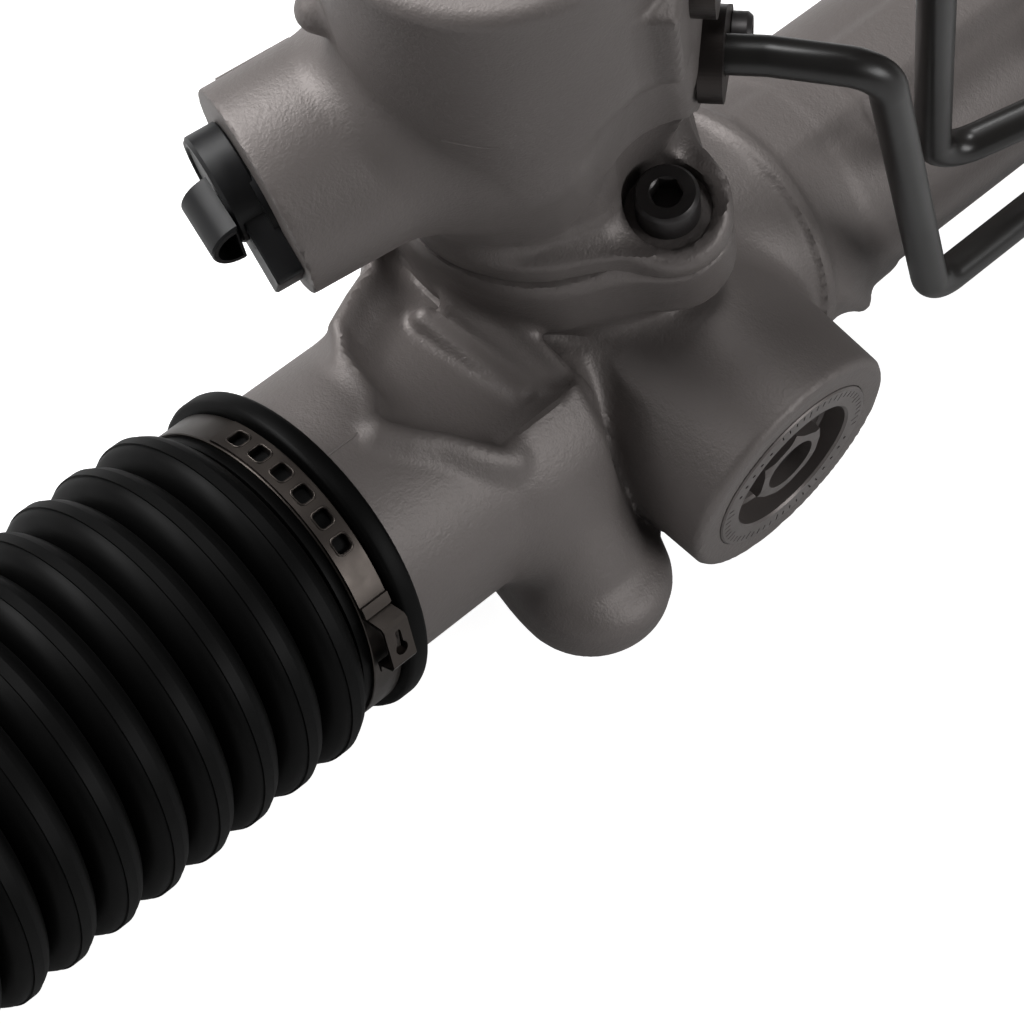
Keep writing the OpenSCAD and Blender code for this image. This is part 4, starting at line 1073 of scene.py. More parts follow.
@dataclass
class ValveHousing:
    """The leaning valve tower with its barrel, solenoid boss, line pad and joint flange.

    The shoulder is where the barrel starts to narrow: angles about the pinion, and heights.
    """

    joint: Joint = Joint()
    route: Route = Route()
    top: float = 166
    barrel_r: float = 34.5
    waist_r: float = 25.5
    bore_r: float = 19
    boss_r: float = 22
    boss_reach: float = 58
    pad_bottom: float = 84
    pad: float = 20
    hose_ports: tuple[float, float] = (90, 124)
    hose_turn: float = 90
    hose_reach: float = 40
    hose_r: float = 12
    hose_bore_r: float = 7.2
    seal_bore_r: float = 13.5
    line_bore_r: float = 5.5
    line_gallery_r: float = 2.5
    gallery_r: float = 3
    plunger_bore_r: float = 11
    screw_hole_r: float = 4.4
    counterbore_r: float = 8.9
    flange: float = 9
    shoulder: tuple[tuple[float, float], ...] = (
        (-180, 76), (-168, 79), (-142, 90), (-122, 95), (-108, 103), (-91, 112), (-77, 100),
        (-60, 88), (-20, 80), (90, 76), (180, 76))
    cell: float = 1.0

    def barrel(self, points: Array) -> Array:
        """The barrel, which narrows to the waist below a shoulder that is highest over the screw."""
        x, y, z = PINION.local(points)
        angle, height = zip(*self.shoulder)
        below = np.interp(np.degrees(np.arctan2(y, x)), angle, height) - z
        narrow = 0.29 * (np.hypot(np.maximum(below + 6, 0), 5) - 5)
        draught = 0.012 * np.maximum(z - 100, 0)
        radius = np.maximum(self.barrel_r + 0.3 - draught - narrow, self.waist_r)
        side = (np.hypot(x, y) - radius) / 1.06
        return round_both(side, np.abs(z - (self.top + self.joint.height + 2) / 2)
                          - (self.top - self.joint.height - 2) / 2, 3)

    def form(self, points: Array) -> Array:
        """Distances to the whole casting."""
        cast = Casting(points)
        cast.add(bar(points, PINION, 36.3, 60, 21.95))
        cast.add(self.joint.flange(points, self.joint.height, self.joint.height + self.flange))
        cast.add(self.barrel(points), 7)
        cast.add(self.line_pad(points), 2)
        cast.add(bar(points, SOLENOID, 0, self.boss_reach, self.boss_r + 0.6, self.boss_r, 0.8), 8)
        cast.add(bar(points, PINION, self.top - 1, self.top + 4, 19.5, edge=1), 1.5)
        for h in self.hose_ports:
            cast.add(bar(points, PINION.turned(self.hose_turn, h), 0, self.hose_reach, self.hose_r,
                         edge=1), 5)
        lug = PINION.turned(151, 130)
        cast.add(finger(points, lug.point(0, 0, 28), lug.point(0, 0, 35), 5.5, 4.5), 3)
        self.cuts(cast)
        return cast.distance

    def line_pad(self, points: Array) -> Array:
        """The flat pad that the two lines are clamped to."""
        place = PINION.turned(self.route.turn, 0)
        low, high = self.pad_bottom, self.route.ports[1] + 16
        return block(points, place, (-(low + high) / 2, 0, self.route.reach - self.pad / 2),
                     ((high - low) / 2, 21, self.pad / 2), 1.5)

    def cuts(self, cast: Casting) -> None:
        """Bores, counterbores, the scoop beside the joint screw, and ports."""
        points = cast.points
        flange_top = self.joint.height + self.flange
        scoop = (PINION.turned(-80, flange_top + 7).point(0, 0, 35),
                 PINION.turned(-90, flange_top + 45).point(0, 0, 48))
        cast.cut(finger(points, *scoop, 11, 19), 5)
        cast.cut(bar(points, PINION, 30, self.top - 20, self.bore_r))
        cast.cut(bar(points, PINION, self.top - 21, self.top + 8, self.seal_bore_r))
        low = self.joint.height
        for turn in self.joint.turns():
            place = self.joint.screw(turn)
            cast.cut(bar(points, place, low - 2, low + 12, self.screw_hole_r))
            cast.cut(bar(points, place, low + 5, low + 36, self.counterbore_r), 0.7)
        for h in self.hose_ports:
            place = PINION.turned(self.hose_turn, h)
            cast.cut(bar(points, place, 26, self.hose_reach + 6, self.hose_bore_r), 0.6)
            cast.cut(bar(points, place, 0, 30, self.gallery_r))
        for h in self.route.ports:
            place = PINION.turned(self.route.turn, h)
            cast.cut(bar(points, place, self.route.reach - 8, self.route.reach + 3, self.line_bore_r))
            cast.cut(bar(points, place, 0, self.route.reach, self.line_gallery_r))
        cast.cut(bar(points, SOLENOID, 0, 40, self.gallery_r))
        cast.cut(bar(points, SOLENOID, 26, self.boss_reach + 4, self.plunger_bore_r), 0.6)

    def build(self) -> bpy.types.Object:
        """Builds the casting, dresses it and puts it in the CAD casting's place."""
        low, high = (np.array(v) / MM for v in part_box("valve_housing"))
        points, faces = Skin(self.form, low - 2, high + 2, self.cell).mesh()
        obj = make_object("valve_casting", points, faces, 32)
        Stock.CAST.value.dress(obj)
        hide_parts("valve_housing")
        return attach(obj, "housing")


@dataclass
class CarriedNodes:
    """The CAD pieces that stay as they are and only get their finish."""

    finishes: dict[str, Finish] = field(default_factory=lambda: {s.value.slot: s.value for s in Stock})

    def dress(self) -> None:
        """Gives each CAD node the finish of its slot."""
        slots = {s["node"]: s["material_slot"] for s in frame["record"]["subparts"]}
        for name, obj in frame["nodes"].items():
            self.finishes[slots[name]].dress(obj)
        log.info("%d carried pieces dressed", len(slots))


@dataclass
class Boot:
    """A folded rubber boot, built in three lengths.

    Distances run outwards from the boot's inner edge.

    Args:
        side: left or right, as in the names of the bodies.
        start: where the inner edge sits along the rack.
        outward: direction along the rack, -1 or 1.
        folds: how many folds there are, each of them a pitch long.
        land: half the flat on a fold's crest, as a share of half a fold.
        slide: a stretch of the boot; the inner length is cut off at its end.
        lift: a stretch of the boot; the middle length is cut off at its end.
        swing: not used.
    """

    side: str
    start: float
    outward: int
    inner_r: float = 31.55
    lip_r: float = 36.8
    seat_r: float = 33.8
    crest_r: float = 38.3
    valley_r: float = 30
    pitch: float = 11.6
    folds: int = 13
    fold_start: float = 15.5
    roundness: float = 2.2
    cuff: float = 24
    rod_r: float = 7.8
    bead_r: float = 11.3
    groove_r: float = 10.1
    rubber: float = 2
    land: float = 0.2
    steps: int = 112
    slide: tuple[float, float] = (6, 108)
    lift: tuple[float, float] = (108, 120)
    swing: tuple[float, float] = (120, 168)

    def wall(self) -> list[tuple[float, float, float]]:
        """Distance, outer radius and inner radius of the wall, from lip to rod."""
        seat = (self.seat_r, self.inner_r)
        rows = [(0, self.lip_r - 0.9, self.inner_r), (0.4, self.lip_r - 0.25, self.inner_r),
                (1.1, self.lip_r, self.inner_r), (3.9, self.lip_r, self.inner_r),
                (4.6, self.lip_r - 0.3, self.inner_r), (4.95, self.lip_r - 0.9, self.inner_r),
                (5.05, *seat), (7.1, *seat), (7.7, self.seat_r, self.inner_r - 0.8),
                (10.9, self.seat_r, self.inner_r - 0.8), (11.5, *seat), (13.5, *seat),
                (13.7, self.valley_r + 4, self.inner_r), (15.3, self.valley_r + 4, self.inner_r - 1)]
        half = (0.4, 0.58, 0.75, 0.88, 0.96)
        steps = (-1, *(-u for u in reversed(half)), -self.land - 0.01, -self.land, self.land,
                 self.land + 0.01, *half)
        for k in range(self.folds):
            for u in steps:
                r = self.fold(u)
                rows.append((self.fold_start + self.pitch * (k + (u + 1) / 2), r, r - self.rubber))
        end = self.fold_start + self.pitch * self.folds
        rows += [(end, self.valley_r, self.valley_r - self.rubber), (end + 4, 24, 22), (end + 8, 16, 14)]
        end += self.cuff
        return rows + [(end - 11, self.bead_r, self.rod_r), (end - 10.4, self.groove_r, self.rod_r),
                       (end - 3.6, self.groove_r, self.rod_r), (end - 3, self.bead_r, self.rod_r),
                       (end - 0.4, self.bead_r, self.rod_r), (end, self.bead_r - 0.5, self.rod_r)]

    def fold(self, u: float) -> float:
        """Outer radius across one fold, from valley (-1) over the crest's narrow land to valley (1)."""
        if abs(u) <= self.land:
            return self.crest_r
        v = (abs(u) - self.land) / (1 - self.land)
        return self.valley_r + (self.crest_r - 0.4 - self.valley_r) * math.sqrt(
            max(0, 1 - v ** self.roundness))

    def length(self, name: str, low: float, high: float) -> tuple[Array, list]:
        """The mesh of one length of the boot between two distances."""
        rows = [row for row in self.wall() if low - 0.01 <= row[0] <= high + 0.01]
        log.info("boot_%s_%s: %d rings", self.side, name, len(rows))
        outer = [(s, r) for s, r, _ in rows]
        inner = [(s, r) for s, _, r in reversed(rows)]
        return lathe(outer + inner, along_rack(self.start, self.outward), self.steps, closed=True)

    def at(self, distance: float) -> tuple[float, float, float]:
        """A point on the rack axis at a distance along the boot, in metres."""
        return ((self.start + self.outward * distance) * MM, 0, 0)

    def build(self) -> None:
        """Builds the three lengths; the last also covers the tie rod's end of the boot."""
        rings = [row[0] for row in self.wall()]
        near = [min(rings, key=lambda s: abs(s - cut)) for cut in (self.slide[1], self.lift[1])]
        lengths = (("inner", 0, near[0], "housing", "rack", self.slide),
                   ("middle", near[0], near[1], "rack", f"seat_{self.side}", self.lift),
                   ("outer", near[1], rings[-1], f"seat_{self.side}", f"tie_{self.side}", self.swing))
        for name, low, high, a, b, span in lengths:
            nodes = (f"boot_{self.side}",) if name == "inner" else ()
            obj = piece(f"boot_{self.side}_{name}", self.length(name, low, high), Stock.BOOT, None,
                        nodes, sharp=50)
            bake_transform(obj)


@dataclass
class BandClamp:
    """The stainless band round a boot's seat: pierced tail over a plain strip, and a folded ear.

    Args:
        side: left or right, as in the names of the pieces.
        start: where the boot's inner edge sits along the rack.
        outward: direction along the rack, -1 or 1.
        edge: distance from the boot's edge to the band.
        radius: the band's inner radius.
        ear_turn: where the ear stands, in degrees about the rack.
        windows: where the tail's square windows are, in degrees about the rack.
        window: width of a window.
    """

    side: str
    start: float
    outward: int
    edge: float = 5.5
    width: float = 7.5
    radius: float = 33.85
    strip: float = 0.7
    ear_turn: float = 154
    windows: tuple[float, ...] = (120, 110, 100, 90, 80, 70)
    window: float = 3.5

    def hat(self, radius: float) -> list[tuple[float, float]]:
        """Outline of the folded ear, as sideways and outward distances from the band."""
        top = [(-6.6, 0.5), (-5.3, 0.7), (-4.7, 4.6), (-3.9, 5.2), (5.2, 5.2), (6.2, 4.4),
               (6.6, 0.9), (8.2, 0.5)]
        under = [(8.2, 0), (6, 0), (5.6, 3.9), (4.9, 4.5), (-3.4, 4.5), (-3.9, 4), (-4.5, 0), (-6.6, 0)]
        return [(side, radius + out) for side, out in reversed(top + under)]

    def build(self) -> None:
        """Builds the band, its raised window rims and its ear."""
        place = along_rack(self.start, self.outward)
        low, high, middle = self.edge, self.edge + self.width, self.edge + self.width / 2
        inner, outer = self.radius, self.radius + self.strip
        ring = lathe([(low, inner), (high, inner), (high, outer - 0.15), (high - 0.2, outer),
                      (low + 0.2, outer), (low, outer - 0.15)], place, 180, closed=True)
        tail_r = outer + 0.03, outer + self.strip
        tail = arc_strip(place, (low + 0.5, high - 0.3), tail_r, (62, self.ear_turn - 9))
        step = arc_strip(place, (low + 0.4, high - 0.4), (outer, outer + 1.3),
                         (self.ear_turn - 13, self.ear_turn - 9))
        cuts, rims = [], []
        for turn in self.windows:
            spot = place.turned(turn, middle)
            shape = rounded(self.window, self.window, 0.9)
            cuts.append(prism(shape, inner - 0.3, outer + 2, spot))
            path = [spot.point(x, y, tail_r[1] + 0.02 - y * y / (2 * tail_r[1])) for x, y in
                    rounded(self.window + 0.5, self.window + 0.5, 1.1)]
            rims.append(sweep(path, 0.2, 8, closed=True))
        piece(f"clamp_band_{self.side}", ring, Stock.STAINLESS, "housing",
              (f"boot_clamp_{self.side}",), cuts)
        piece(f"clamp_tail_{self.side}", joined([tail, step]), Stock.STAINLESS, "housing", (), cuts)
        piece(f"clamp_rims_{self.side}", joined(rims), Stock.STAINLESS, "housing", sharp=60)
        spot = place.turned(self.ear_turn, middle)
        along = Place(spot.origin, spot.y, spot.z, spot.x)
        ear = prism(self.hat(outer), -self.width / 2 + 0.7, self.width / 2 - 0.7, along)
        slot = rounded(1.5, 5.2, 0.7)
        eye = [(x, y + 1.9) for x, y in circle_points(1.5, 24)]
        keyhole = [prism(shape, outer + 2, outer + 8, spot) for shape in (slot, eye)]
        hook = sweep([spot.point(-0.1, y, outer + 3.1 + 0.5 * math.cos(y))
                      for y in (-2.6, -1.2, 0, 1.2, 2.4)], 0.8, 12)
        piece(f"clamp_ear_{self.side}", ear, Stock.STAINLESS, "housing", (), keyhole, sharp=25)
        piece(f"clamp_hook_{self.side}", hook, Stock.STAINLESS, "housing")


@dataclass
class SocketScrew:
    """A socket-head screw with a turned chamfer round its head and a hexagon socket.

    Args:
        place: its axis.
        seat: height of the face under its head.
        head_r: radius of the head.
        head: height of the head.
        socket: width across the socket's flats.
        shank_r: radius of the shank.
        tip: height of the shank's end.
    """

    place: Place
    seat: float
    head_r: float
    head: float
    socket: float
    shank_r: float
    tip: float

    def mesh(self) -> tuple[Array, list]:
        """The head and shank, turned in one."""
        top = self.seat + self.head
        return lathe([(self.tip, self.shank_r - 0.6), (self.tip + 0.6, self.shank_r),
                      (self.seat, self.shank_r), (self.seat, self.head_r - 0.2),
                      (self.seat + 0.2, self.head_r), (top - 1, self.head_r),
                      (top - 0.75, self.head_r - 0.1), (top, self.head_r - 0.75)], self.place, 96)

    def cuts(self) -> list[tuple[Array, list]]:
        """The socket and the small countersink at its mouth."""
        top = self.seat + self.head
        corner = self.socket / 2 / math.cos(math.pi / 6)
        return [prism(circle_points(corner, 6, 10), top - self.head * 0.55, top + 1, self.place),
                lathe([(top - 0.45, corner - 0.45), (top + 0.4, corner + 0.4)], self.place, 48)]


@dataclass
class Fasteners:
    """The joint screws and the screws of the two line clamps."""

    joint: Joint = Joint()
    route: Route = Route()

    def build(self) -> None:
        """Builds both pairs."""
        for name, turn in zip(("front", "rear"), self.joint.turns()):
            screw = SocketScrew(self.joint.screw(turn), seat=self.joint.height + 5, head_r=6.65, head=8,
                                socket=6, shank_r=3.9, tip=self.joint.height - 14)
            piece(f"joint_screw_{name}", screw.mesh(), Stock.BLACK_OXIDE, "housing",
                  ("housing_screws",), screw.cuts())
        for name, h in zip(("lower", "upper"), self.route.ports):
            place = PINION.turned(self.route.turn, h).moved(9, 9, 0)
            screw = SocketScrew(place, seat=self.route.reach + self.route.plate + 0.15, head_r=4.8,
                                head=4, socket=4.1, shank_r=2.4, tip=self.route.reach - 9)
            piece(f"clamp_screw_{name}", screw.mesh(), Stock.BLACK_OXIDE, "housing",
                  ("clamp_screws",), screw.cuts())


@dataclass
class YokePlug:
    """The adjusting plug: a graduated ring, a sunk face with a raised hexagon, and its set screw."""

    face: float = 52.4
    radius: float = 21.42
    depth: float = 12
    recess_r: float = 16
    recess: float = 6
    hex_corner: float = 9.8
    socket_r: float = 6.4
    seat_r: float = 5.2
    spring_r: float = 10
    ticks: int = 60
    tick_width: float = 0.34
    tick_top: float = 20.4
    bare: tuple[tuple[float, float], ...] = ((0.28, 0.40), (0.78, 0.92))
    dot_ring: float = 18.6
    dots: tuple[float, ...] = (108, 117, 126, 135, 288, 297, 306, 315, 324)

    def ring(self) -> tuple[Array, list]:
        """The plug's turned body, hollow behind for the spring."""
        back, floor = self.face - self.depth, self.face - self.recess
        return lathe([(back, self.spring_r), (back, self.radius - 0.6), (back + 0.6, self.radius),
                      (self.face - 0.35, self.radius), (self.face, self.radius - 0.35),
                      (self.face, self.recess_r + 0.5), (self.face - 0.5, self.recess_r),
                      (floor + 0.6, self.recess_r - 0.1), (floor, self.recess_r - 0.7),
                      (floor, self.socket_r), (floor - 3.4, self.socket_r),
                      (floor - 3.4, self.seat_r), (back + 1.8, self.seat_r),
                      (back + 1.8, self.spring_r)], YOKE, 144, closed=True)

    def boss(self) -> tuple[Array, list]:
        """The raised hexagon round the socket."""
        floor = self.face - self.recess
        return hex_nut(YOKE, floor - 0.5, self.face - 0.9, self.hex_corner, self.socket_r)

    def marks(self) -> list[tuple[Array, list]]:
        """Sunk graduation ticks and the small dots between them."""
        cuts = []
        for i in range(self.ticks):
            share = i / self.ticks
            if any(low < share < high for low, high in self.bare):
                continue
            low, half, high = 18.2 if i % 5 == 0 else 18.9, self.tick_width / 2, self.tick_top
            corners = [(-half, low), (half, low), (half, high), (-half, high)]
            cuts.append(prism(corners, self.face - 0.45, self.face + 1, YOKE.spun(-360 * share)))
        for turn in self.dots:
            cuts.append(prism([(x, y + self.dot_ring) for x, y in circle_points(0.45, 12)],
                              self.face - 0.5, self.face + 1, YOKE.spun(-turn)))
        return cuts

    def build(self) -> None:
        """Builds the plug and the set screw in its socket."""
        piece("plug_ring", self.ring(), Stock.ZINC, "housing", ("yoke_plug",), self.marks())
        piece("plug_hexagon", self.boss(), Stock.ZINC, "housing")
        low, top, screw_r, chamfer = self.face - 8.5, self.face - 3.6, 5.1, 0.5
        screw = lathe([(low, screw_r - chamfer), (low + chamfer, screw_r), (top - chamfer, screw_r),
                       (top, screw_r - chamfer)], YOKE, 64)
        socket = prism(circle_points(2.5, 6, 20), top - 3, top + 1, YOKE)
        piece("plug_set_screw", screw, Stock.BLACK_OXIDE, "housing", ("yoke_set_screw",), [socket])


@dataclass
class SolenoidValve:
    """The solenoid's cap with its fixing ear, the half-round plug socket across it, and its coil."""

    reach: float = 58.1
    bore_r: float = 10.95
    cap_x: float = -1.5
    cap_y: float = -4
    cap_r: float = 11.4
    cap: float = 7
    ear_turn: float = 69
    shell_r: float = 6.4

    def build(self) -> None:
        """Builds the cap, the socket and the spring that the plunger presses."""
        top = self.reach + self.cap
        cap_place = SOLENOID.moved(self.cap_x, self.cap_y, 0)
        cap = lathe([(self.reach, self.cap_r - 0.4), (self.reach + 0.4, self.cap_r), (top - 0.7, self.cap_r),
                     (top - 0.2, self.cap_r - 0.5), (top, self.cap_r - 0.7), (top, self.cap_r - 1.7),
                     (top - 0.5, self.cap_r - 2.1)], cap_place, 96)
        stem = lathe([(28, 4.2), (28, self.bore_r - 0.5), (28.5, self.bore_r), (self.reach + 1, self.bore_r),
                      (self.reach + 1, 8), (53, 8), (53, 4.2)], SOLENOID, 96, closed=True)
        ear = prism([(u + 9, v) for u, v in rounded(18, 14, 1.2)], self.reach, top - 1.4,
                    SOLENOID.spun(self.ear_turn), 0.4)
        piece("solenoid_cap", joined([cap, stem, ear]), Stock.NYLON, "housing", ("solenoid_body",), sharp=28)
        low = top + 0.1
        across = Place(tuple(SOLENOID.point(self.cap_x, self.cap_y, low)), SOLENOID.z,
                       tuple(-Vector(SOLENOID.x)), SOLENOID.y)
        half = [(self.shell_r * math.cos(t), self.shell_r * math.sin(t))
                for t in np.radians(np.linspace(-90, 90, 33))]
        shell = prism(half, 0, 12.6, across, 0.5)
        inner = [(0.8 + 0.72 * (px - 0.2), 0.72 * py) for px, py in half]
        mouth = prism(inner, 5, 14, across)
        piece("plug_socket", shell, Stock.NYLON, "housing", ("solenoid_connector",), [mouth], sharp=28)
        self.coil()

    def coil(self) -> None:
        """Builds the plunger's spring, between the housing and the plunger."""
        r, low, rise, end = 2.9, 49.5, 2.8, 3 * FULL_TURN
        coil = [SOLENOID.point(r * math.cos(t), r * math.sin(t), low + rise * t / end)
                for t in np.linspace(0, end, 73)]
        spring = piece("plunger_coil", sweep(coil, 0.5, 8), Stock.SPRING, None, ("plunger_spring",),
                       sharp=50)
        still, moved = (tuple(SOLENOID.point(0, 0, h) * MM) for h in (52.8, 49))
        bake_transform(spring)


@dataclass
class Lines:
    """The two bent steel lines and their nuts at the cylinder."""

    route: Route = Route()
    radius: float = 4
    boss_reach: float = 35.5
    nut: float = 13
    nut_corner: float = 8
    nut_bore: float = 4.05
    sleeve_r: float = 5.9
    over: float = 62.5

    def port(self, h: float, reach: float) -> Vector:
        """A point straight out from a tower port."""
        a = math.radians(self.route.turn)
        return PINION.point(reach * math.cos(a), reach * math.sin(a), h)

    @staticmethod
    def off(x: float, run: tuple[float, float], r: float) -> Vector:
        """A point at radius r from the rack axis, on the side of a line's run."""
        return Vector((x, 0, 0)) + r * Vector((0, *run)).normalized()

    def build(self) -> None:
        """Builds both lines along the frame's route, then their nuts."""
        low, high = self.route.ports
        near, far = self.route.cylinder_ports
        front, back = self.route.outer_run, self.route.inner_run
        start, bend, end = self.route.reach - 7, self.route.reach + self.route.plate, self.boss_reach - 7
        outer = [self.port(low, start), self.port(low, bend + 8), self.port(low - 4, bend + 30),
                 Vector((56, *front)), Vector((far - 44, *front)), self.off(far - 28, front, self.over),
                 self.off(far, front, self.over), self.off(far, front, end)]
        inner = [self.port(high, start), self.port(high, bend + 20), Vector((28, back[0] - 1, 137)),
                 Vector((63, *back)), self.off(near - 26, back, self.over),
                 self.off(near, back, self.over), self.off(near, back, end)]
        for name, path, bend_r, node in (("front_line", outer, 10, "line_outer"),
                                         ("back_line", inner, 9, "line_inner")):
            piece(name, sweep(bent_path(path, bend_r), self.radius, 40), Stock.LINE, "housing", (node,))
        nuts = []
        foot, top = self.boss_reach + 0.1, self.boss_reach + 1
        for place in self.route.cylinder_places():
            nuts.append(hex_nut(place, foot, foot + self.nut, self.nut_corner, self.nut_bore))
            nuts.append(lathe([(end, self.nut_bore), (top, self.nut_bore), (top, self.sleeve_r),
                               (end, self.sleeve_r)], place, 48, closed=True))
        piece("line_end_nuts", joined(nuts), Stock.NUT, "housing", ("line_nuts",), sharp=28)


@dataclass
class TieRod:
    """An inner tie rod with its ball, rolled thread, lock nut and boot clip.

    Args:
        side: left or right, as in the names of the bodies.
        ball_x: where the ball's centre sits along the rack.
        outward: direction along the rack, -1 or 1.
        length: distance from the ball's centre to the rod's end.
        runout: distance from the rod's end to where it narrows for the thread.
        major: radius of the thread's crest.
        minor: radius of the thread's core.
        clip: distance from the ball's centre to the boot's clip.
    """

    side: str
    ball_x: float
    outward: int
    ball_r: float = 13
    rod_r: float = 7.5
    length: float = 290
    thread_length: float = 46
    runout: float = 62
    major: float = 7
    minor: float = 6.2
    clip: float = 90.3
    clip_width: float = 6
    clip_r: float = 10.15
    nut: float = 9
    nut_corner: float = 12.7
    pitch: float = 1.5

    def build(self) -> None:
        """Builds the rod, the nut and the clip."""
        place = along_rack(self.ball_x, self.outward)
        low, step = self.length - self.thread_length, self.length - self.runout
        ball = [(self.ball_r * math.sin(t), self.ball_r * math.cos(t))
                for t in np.radians(np.arange(-85, 60, 5))]
        rod = lathe([(-self.ball_r, 1)] + ball + [(12, 6), (22, 6), (30, self.rod_r),
                    (step - 2, self.rod_r), (step, self.major - 0.25), (low, self.major - 0.25),
                    (low + 1, self.minor), (self.length - 0.6, self.minor),
                    (self.length, self.minor - 0.8)], place, 64)
        ridge = thread(place, low + 0.5, self.length - 0.3, self.major, self.minor, self.pitch)
        body = f"tie_{self.side}"
        piece(f"threaded_rod_{self.side}", joined([rod, ridge]), Stock.FORGED, body,
              (f"tie_rod_{self.side}",), sharp=28)
        nut = hex_nut(place, step + 4, step + 4 + self.nut, self.nut_corner, self.major - 0.2)
        piece(f"lock_nut_{self.side}", nut, Stock.NUT, body, (f"jam_nut_{self.side}",), sharp=28)
        near, far = self.clip, self.clip + self.clip_width
        wire = lathe([(near, self.clip_r), (far, self.clip_r), (far, 10.9), (far - 0.4, 11.2),
                      (near + 0.4, 11.2), (near, 10.9)], place, 96, closed=True)
        ears = [prism(rounded(5, 1.6, 0.6), 11, 11.4, place.turned(turn, (near + far) / 2))
                for turn in (60, 78)]
        piece(f"spring_clip_{self.side}", joined([wire] + ears), Stock.STAINLESS, body,
              (f"rod_clip_{self.side}",))


@dataclass
class InputEnd:
    """The tower's top: the serrated input shaft and the rubber dust cap."""

    top: float = 166
    rotor: tuple[float, float] = (79, 144)
    shaft_top: float = 208
    bore_r: float = 4.25
    rotor_r: float = 11
    journal_r: float = 9.5
    serration: tuple[float, float] = (8.7, 8.15)
    groove_r: float = 7.6
    cap_rows: tuple[tuple[float, float], ...] = (
        (0, 19.7), (0, 22.1), (0.5, 22.5), (4.2, 22.5), (5, 21.9), (6.5, 18.6), (8.2, 16),
        (9.6, 14.4), (12, 12.9), (13.6, 12.1), (14, 11.6), (14, 9.9), (10, 9.9), (6.5, 12.5),
        (4, 19.7))

    def build(self) -> None:
        """Builds the shaft and the cap."""
        end, low, notch = self.shaft_top, self.top + 8, self.top + 24
        foot, head = self.rotor
        rows = [(foot, self.rotor_r - 0.8), (foot + 0.8, self.rotor_r), (head - 0.8, self.rotor_r),
                (head, self.rotor_r - 0.8), (head, self.journal_r), (low - 3, self.journal_r),
                (low - 2.4, 8.1), (low, 8.1), (low + 0.8, *self.serration),
                (notch - 2, *self.serration), (notch - 1, self.groove_r), (notch + 3, self.groove_r),
                (notch + 4, *self.serration), (end - 1.2, *self.serration), (end, self.groove_r),
                (end, self.bore_r), (foot, self.bore_r)]
        piece("serrated_input", lathe(rows, PINION, 96, closed=True), Stock.GROUND, "input",
              ("input_shaft",), sharp=20)
        cap = [(self.top + 0.2 + rise, r) for rise, r in self.cap_rows]
        piece("input_cap", lathe(cap, PINION, 96, closed=True), Stock.CAP_RUBBER, "housing",
              ("dust_cap",), sharp=50)


@dataclass
class CastMarks:
    """Fine lines that the moulds and handling leave on the castings."""

    height: float = 0.28
    boss_r: float = 22.1
    boss_turn: float = -118
    barrel_r: float = 34.45
    barrel_height: float = 121

    @staticmethod
    def on(place: Place, r: float, turn: float, height: float) -> Vector:
        """A point at a radius, an angle in degrees and a height about a place's z."""
        a = math.radians(turn)
        return place.point(r * math.cos(a), r * math.sin(a), height)

    def build(self) -> None:
        """Lays the fine lines half sunk in the skin of the boss, the neck and the barrel."""
        boss = [self.on(SOLENOID, self.boss_r, self.boss_turn, h) for h in (38, 43, 48, 54)]
        neck = [Vector((s, -1.2, 31.45)) for s in (-90.5, -86, -82, -78.6)]
        barrel = [self.on(PINION, self.barrel_r, t, self.barrel_height)
                  for t in np.linspace(-154.5, -136.5, 12)]
        lines = [sweep(path, self.height, 8) for path in (boss, neck, barrel)]
        piece("parting_lines", joined(lines), Stock.CAST, "housing", sharp=60)


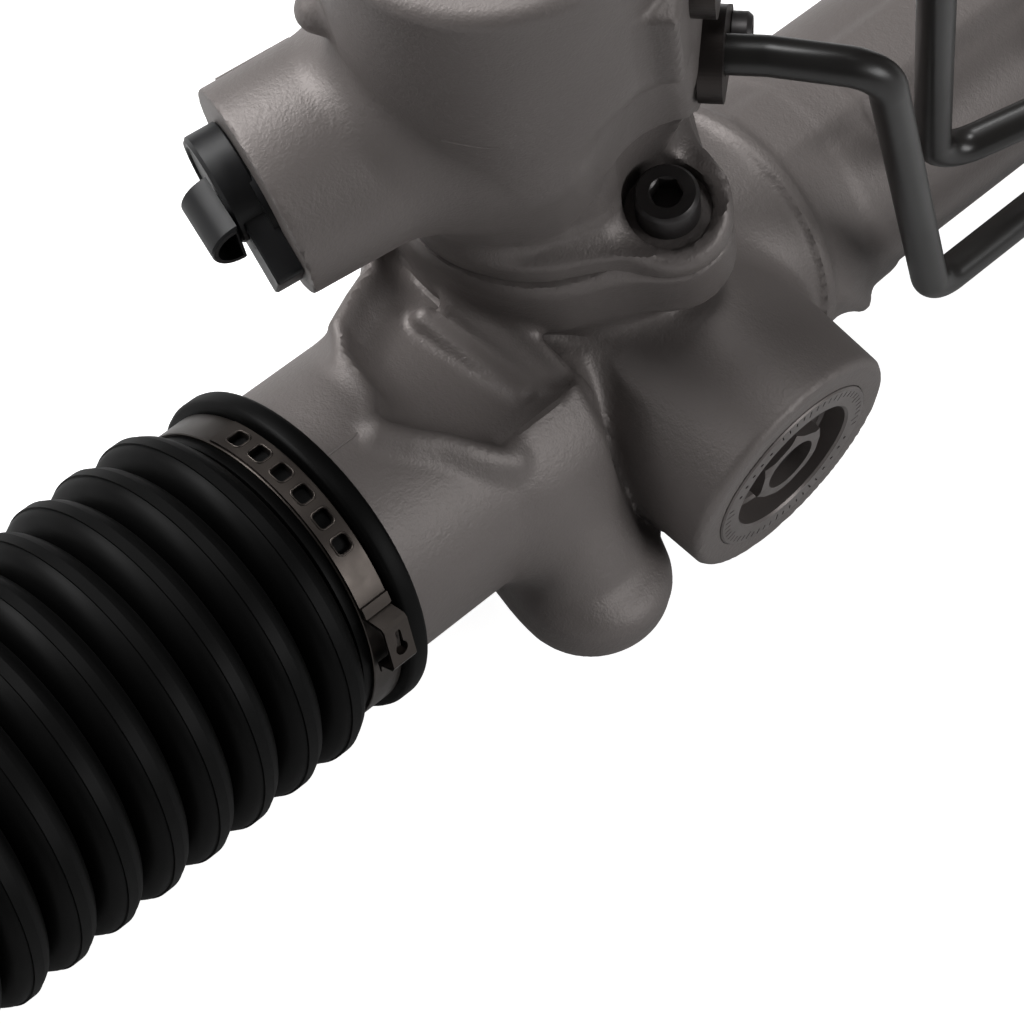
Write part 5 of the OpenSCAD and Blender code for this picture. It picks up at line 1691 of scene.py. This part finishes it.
@dataclass
class Studio:
    """White floor, soft lamps and the camera.

    Args:
        camera_at: where the camera stands, in mm.
        camera_right: the picture's right-hand direction.
        camera_up: the picture's upward direction.
        focal_px: focal length in pixels of a picture that is picture_px wide.
        picture_px: width of that picture.
        sensor: width of the sensor, in mm.
        lamps_aim: the point that the lamps face, in metres.
    """

    camera_at: tuple[float, float, float] = (-396.3, -260.7, 621.1)
    camera_right: tuple[float, float, float] = (0.705, -0.698, 0.121)
    camera_up: tuple[float, float, float] = (0.541, 0.641, 0.545)
    focal_px: float = 3650
    picture_px: float = 1024
    sensor: float = 36
    lamps_aim: tuple[float, float, float] = (-0.02, 0, 0.03)

    def camera(self) -> None:
        """Puts the camera where it sees the gear's pinion end from above."""
        data = bpy.data.cameras.new("camera")
        data.sensor_width = data.sensor_height = self.sensor
        data.sensor_fit = "HORIZONTAL"
        data.lens = self.focal_px * self.sensor / self.picture_px
        data.clip_start, data.clip_end = 0.01, 20
        obj = bpy.data.objects.new("camera", data)
        right = Vector(self.camera_right).normalized()
        up = Vector(self.camera_up)
        up = (up - up.dot(right) * right).normalized()
        turn = Matrix((right, up, right.cross(up))).transposed().to_4x4()
        obj.matrix_world = Matrix.Translation(Vector(self.camera_at) * MM) @ turn
        bpy.context.scene.collection.objects.link(obj)
        bpy.context.scene.camera = obj

    def lamp(self, name: str, at: tuple[float, float, float], size: tuple[float, float],
             power: float) -> None:
        """Adds a soft box that faces the gear's middle."""
        data = bpy.data.lights.new(name, "AREA")
        data.shape, data.size, data.size_y, data.energy = "RECTANGLE", size[0], size[1], power
        obj = bpy.data.objects.new(name, data)
        look = (Vector(self.lamps_aim) - Vector(at)).normalized()
        turn = look.to_track_quat("-Z", "Y").to_matrix().to_4x4()
        obj.matrix_world = Matrix.Translation(Vector(at)) @ turn
        bpy.context.scene.collection.objects.link(obj)

    def floor(self) -> None:
        """Lays a white floor that keeps a soft shadow."""
        gap, half = 0.5, 3000
        z = CAD_BOX[0][2] / MM - gap
        points = np.array([(-half, -half, z), (half, -half, z), (half, half, z), (-half, half, z)], float)
        obj = make_object("floor", points, [[0, 1, 2, 3]])
        made = bpy.data.materials.new("white_paper_floor")
        made.use_nodes = True
        tree = made.node_tree
        tree.nodes.remove(tree.nodes["Principled BSDF"])
        seen = camera_sees(tree)
        glow = add(tree, "Emission", None, {"Color": (1, 1, 1, 1), "Strength": 0.9})
        paper = add(tree, "BsdfDiffuse", None, {"Color": linear("#c8c8c8")})
        both = add(tree, "AddShader", None, {0: glow.outputs[0], 1: paper.outputs[0]})
        mix = add(tree, "MixShader", None, {0: seen, 1: paper.outputs[0], 2: both.outputs[0]})
        tree.links.new(mix.outputs[0], tree.nodes["Material Output"].inputs["Surface"])
        obj.data.materials.append(made)

    def world(self) -> None:
        """Sets an even pale room, white where the camera sees it."""
        world = bpy.data.worlds.new("studio")
        bpy.context.scene.world = world
        world.use_nodes = True
        tree = world.node_tree
        tree.nodes.clear()
        seen = camera_sees(tree)
        room = add(tree, "Background", None, {"Color": linear("#f4f3f2"), "Strength": 0.13})
        white = add(tree, "Background", None, {"Color": (1, 1, 1, 1), "Strength": 1.0})
        mix = add(tree, "MixShader", None, {0: seen, 1: room.outputs[0], 2: white.outputs[0]})
        out = tree.nodes.new("ShaderNodeOutputWorld")
        tree.links.new(mix.outputs[0], out.inputs["Surface"])

    def build(self) -> None:
        """Sets up everything round the gear."""
        bpy.context.scene.view_settings.view_transform = "Standard"
        self.camera()
        self.floor()
        self.world()
        self.lamp("back_softbox", (-0.38, 1.15, 1.25), (1.0, 0.7), 34)
        self.lamp("top_softbox", (0.25, 0.15, 1.6), (0.5, 0.4), 9)
        self.lamp("front_softbox", (0.5, -1.4, 0.8), (0.9, 0.6), 14)
        self.lamp("left_softbox", (-1.25, 0.85, 0.95), (0.5, 0.5), 10)


def main() -> None:
    """Builds the gear piece by piece and reports the count."""
    logging.basicConfig(level=logging.INFO, format="%(name)s: %(message)s")
    Studio().build()
    CarriedNodes().dress()
    for part in (RackHousing(), ValveHousing(), CastMarks(), Boot("left", -91.5, -1), Boot("right", 319, 1),
                 BandClamp("left", -91.5, -1), BandClamp("right", 319, 1), Fasteners(), YokePlug(),
                 SolenoidValve(), Lines(), TieRod("left", -181.5, -1), TieRod("right", 409, 1), InputEnd()):
        part.build()
        log.info("%s built", type(part).__name__)


if __name__ == "__main__":
    main()
